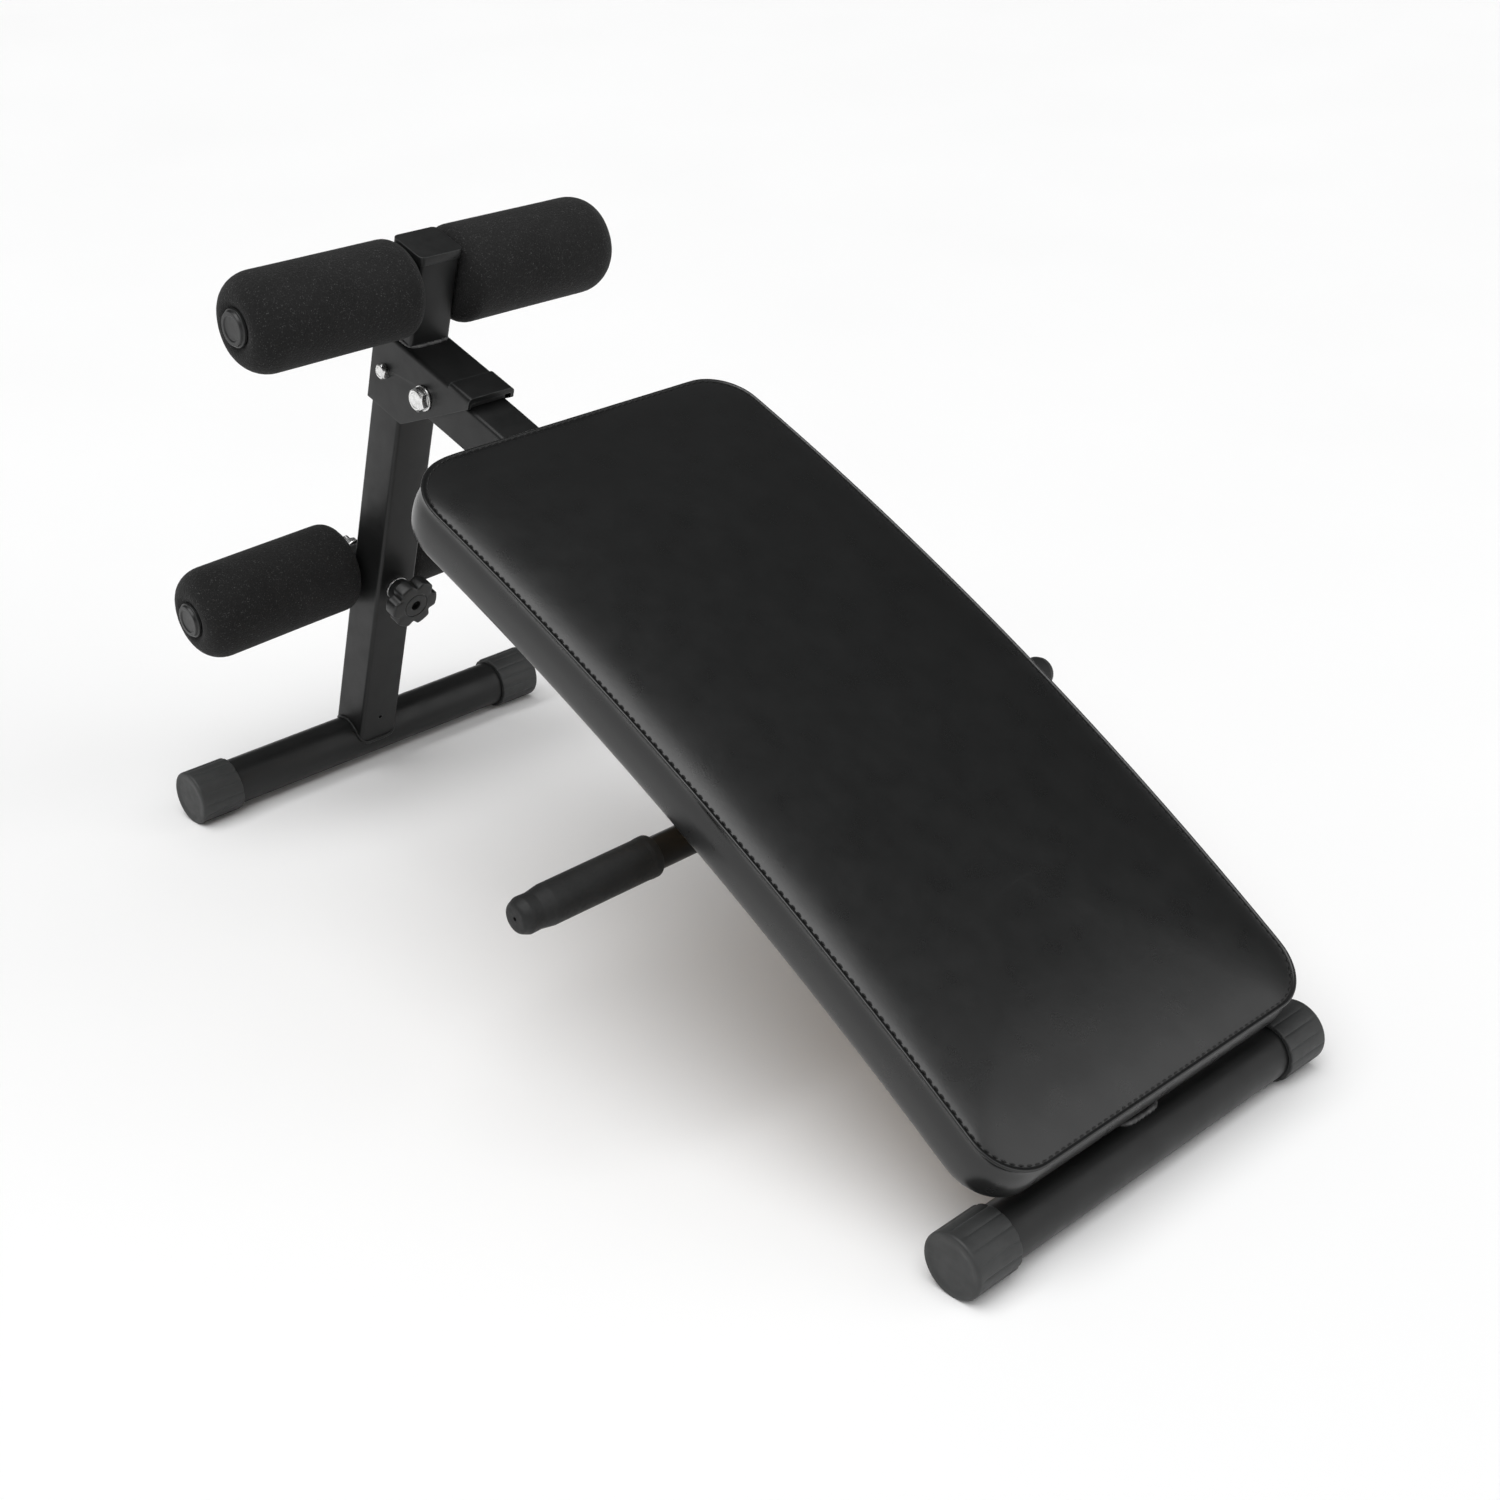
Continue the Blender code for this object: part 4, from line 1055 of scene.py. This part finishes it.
def one_stitch(bm, path, lengths, start):
    sides, steps, low, ahead = 6, 5, 45.1 * MM, 0.2 * MM
    rings = []
    for k in range(steps):
        t = k / (steps - 1)
        swell = math.sin(math.pi * t)
        spot = along_path(path, lengths, start + t * STITCH_LENGTH)
        run = (along_path(path, lengths, start + t * STITCH_LENGTH + ahead) - spot).normalized()
        lift = low + 0.75 * MM * swell
        radius = THREAD_R * (0.55 + 0.45 * swell)
        ring = []
        for j in range(sides):
            turn = 2 * math.pi * j / sides
            across = radius * math.cos(turn)
            s, y = spot.x - run.y * across, spot.y + run.x * across
            ring.append(bm.verts.new(bend_point(s, y, lift + radius * math.sin(turn))))
        rings.append(ring)
    for first, second in zip(rings, rings[1:]):
        join_rings(bm, first, second)
    bm.faces.new(rings[0])
    bm.faces.new(rings[-1])


def staples():
    """Staples that hold the vinyl's hem under the board."""
    points = outline(24, 9, 2)
    bm = bmesh.new()
    for i, point in enumerate(points):
        nxt = points[(i + 1) % len(points)]
        a, b = Vector(ring_point(point, STAPLE_INSET)), Vector(ring_point(nxt, STAPLE_INSET))
        if (b - a).length < 4 * MM:
            continue
        mid, run = (a + b) / 2, (b - a).normalized() * 5 * MM
        side = Vector((-run.y, run.x)).normalized() * 0.5 * MM
        corners = [mid - run - side, mid + run - side, mid + run + side, mid - run + side]
        low = [bm.verts.new(bend_point(c.x, c.y, 1.75 * MM)) for c in corners]
        high = [bm.verts.new(bend_point(c.x, c.y, 2.6 * MM)) for c in corners]
        bm.faces.new(low)
        bm.faces.new(high)
        join_rings(bm, low, high)
    place("hem_staples", bm, HERE, ZINC, BENCH, smooth=30)


def pad_mounting():
    half, top = PAD_WIDTH / 2 - BOARD_INSET, BOARD_LOW + BOARD_THICK
    s0, s1 = PAD_START + BOARD_INSET, PAD_END - BOARD_INSET
    flat = round_block((s0, -half, BOARD_LOW), (s1, half, top), 2, 24 * MM, 8)
    board = place("ply_board", bent(flat, s0, s1), HERE, PLY, BENCH, ["pad_board"], smooth=30)
    soften(board, 0.6 * MM, 2, 50)
    freeze(board, 30)
    for s, end in zip(STRAPS, ("rear", "front")):
        s0, s1 = s - STRAP_HALF, s + STRAP_HALF
        flat = round_block((s0, -STRAP_REACH, GAP), (s1, STRAP_REACH, GAP + SHEET), 2, 6 * MM, 5)
        strap = place("cross_strap_" + end, bent(flat, s0, s1), HERE, COAT, BENCH, ["pad_strap_" + end],
                      smooth=30)
        soften(strap, 0.5 * MM, 2, 50)
        freeze(strap, 30)
        for side, word in SIDES:
            spot = at_beam(s, side * STRAP_SCREW_Y, 0)
            button_screw(f"strap_screw_{end}_{word}", spot, f"pad_screw_{end}_{word}")


def button_screw(name, matrix, node):
    points = [(0.0, 12 * MM), (3 * MM, 12 * MM), (3 * MM, 0.0), (5.5 * MM, 0.0), (4.4 * MM, -3.0 * MM),
              (2.0 * MM, -3.0 * MM), (2.0 * MM, -1.2 * MM), (0.0, -1.2 * MM)]
    place(name, spin(rounded(points, {3: 0.3 * MM, 4: 1.4 * MM}), 32), matrix, ZINC, BENCH, [node])


# Nodes kept from the CAD model

def repaint(node, material):
    obj = frame["nodes"][node]
    obj.data.materials.clear()
    obj.data.materials.append(material)


# Camera, light and floor

def camera():
    stand = REAR_AXIS + Vector((1.685590, -1.061752, 0.954188))
    yaw, pitch, roll = 2.394143, 0.466494, -0.027471
    ahead = Vector((math.cos(pitch) * math.cos(yaw), math.cos(pitch) * math.sin(yaw), -math.sin(pitch)))
    right = ahead.cross(Vector((0, 0, 1))).normalized()
    up = right.cross(ahead)
    turned_right = right * math.cos(roll) + up * math.sin(roll)
    turned_up = up * math.cos(roll) - right * math.sin(roll)
    data = bpy.data.cameras.new("camera")
    data.sensor_width = 36.0
    data.lens = 54.74
    data.clip_end = 50.0
    cam = bpy.data.objects.new("camera", data)
    turn = Matrix((turned_right, turned_up, -ahead)).transposed().to_4x4()
    cam.matrix_world = move(stand) @ turn
    show(cam)
    bpy.context.scene.camera = cam


def soft_sun(name, towards, strength, width):
    """A far, wide light: even over the whole floor, with soft edges to its shadows."""
    data = bpy.data.lights.new(name, "SUN")
    data.energy = strength
    data.angle = math.radians(width)
    lamp = bpy.data.objects.new(name, data)
    lamp.rotation_mode = "QUATERNION"
    lamp.rotation_quaternion = (-Vector(towards)).to_track_quat("-Z", "Y")
    show(lamp)


def floor():
    bm = bmesh.new()
    bmesh.ops.create_grid(bm, x_segments=2, y_segments=2, size=40.0)
    mesh = bpy.data.meshes.new("floor")
    bm.to_mesh(mesh)
    bm.free()
    mesh.materials.append(pale_floor())
    plane = bpy.data.objects.new("floor", mesh)
    plane.location.z = -0.2 * MM
    show(plane)


def sky():
    """A dim dome, dimmer towards +Y, over a pale band along the horizon."""
    world = bpy.data.worlds.new("studio")
    bpy.context.scene.world = world
    world.use_nodes = True
    nodes, links = world.node_tree.nodes, world.node_tree.links
    split = nodes.new("ShaderNodeSeparateXYZ")
    links.new(nodes.new("ShaderNodeTexCoord").outputs["Generated"], split.inputs["Vector"])
    total = nodes.new("ShaderNodeMath")
    ranges = (("Y", -1.0, 1.0, 0.26, 0.05), ("Z", 0.04, 0.16, 0.80, 0.0))
    for slot, (axis, low, high, to_low, to_high) in enumerate(ranges):
        fade = nodes.new("ShaderNodeMapRange")
        for key, value in (("From Min", low), ("From Max", high), ("To Min", to_low), ("To Max", to_high)):
            fade.inputs[key].default_value = value
        links.new(split.outputs[axis], fade.inputs["Value"])
        links.new(fade.outputs["Result"], total.inputs[slot])
    links.new(total.outputs[0], nodes["Background"].inputs["Strength"])
    nodes["Background"].inputs["Color"].default_value = (1.0, 1.0, 1.0, 1.0)


def studio():
    floor()
    sky()
    soft_sun("ceiling", (0.10, -0.30, 0.94), 2.68, 64.0)
    soft_sun("front_fill", (0.75, 0.45, 0.50), 0.70, 50.0)
    bpy.context.scene.view_settings.view_transform = "Standard"


def build():
    floor_tube("rear", REAR_AXIS, REAR)
    floor_tube("front", FRONT_AXIS, BENCH)
    for end, axis, body in (("rear", REAR_AXIS, REAR), ("front", FRONT_AXIS, BENCH)):
        for side, word in SIDES:
            floor_cap(end, word, side, axis, body)
    upright_post()
    hinge_bracket()
    roller_stub()
    fasteners()
    roller("upper", move((UPPER_AXIS.x, 0, UPPER_AXIS.z)))
    roller("lower", move(LOWER_CENTRE) @ LEVEL_TO_RUN)
    clamp_knob()
    main_beam()
    handle()
    welds()
    seat_pad()
    stitches()
    staples()
    pad_mounting()
    repaint("stop_bumper", RUBBER)
    repaint("pivot_bushing", PLASTIC)
    repaint("beam_end_plug", PLASTIC)
    camera()
    studio()


build()
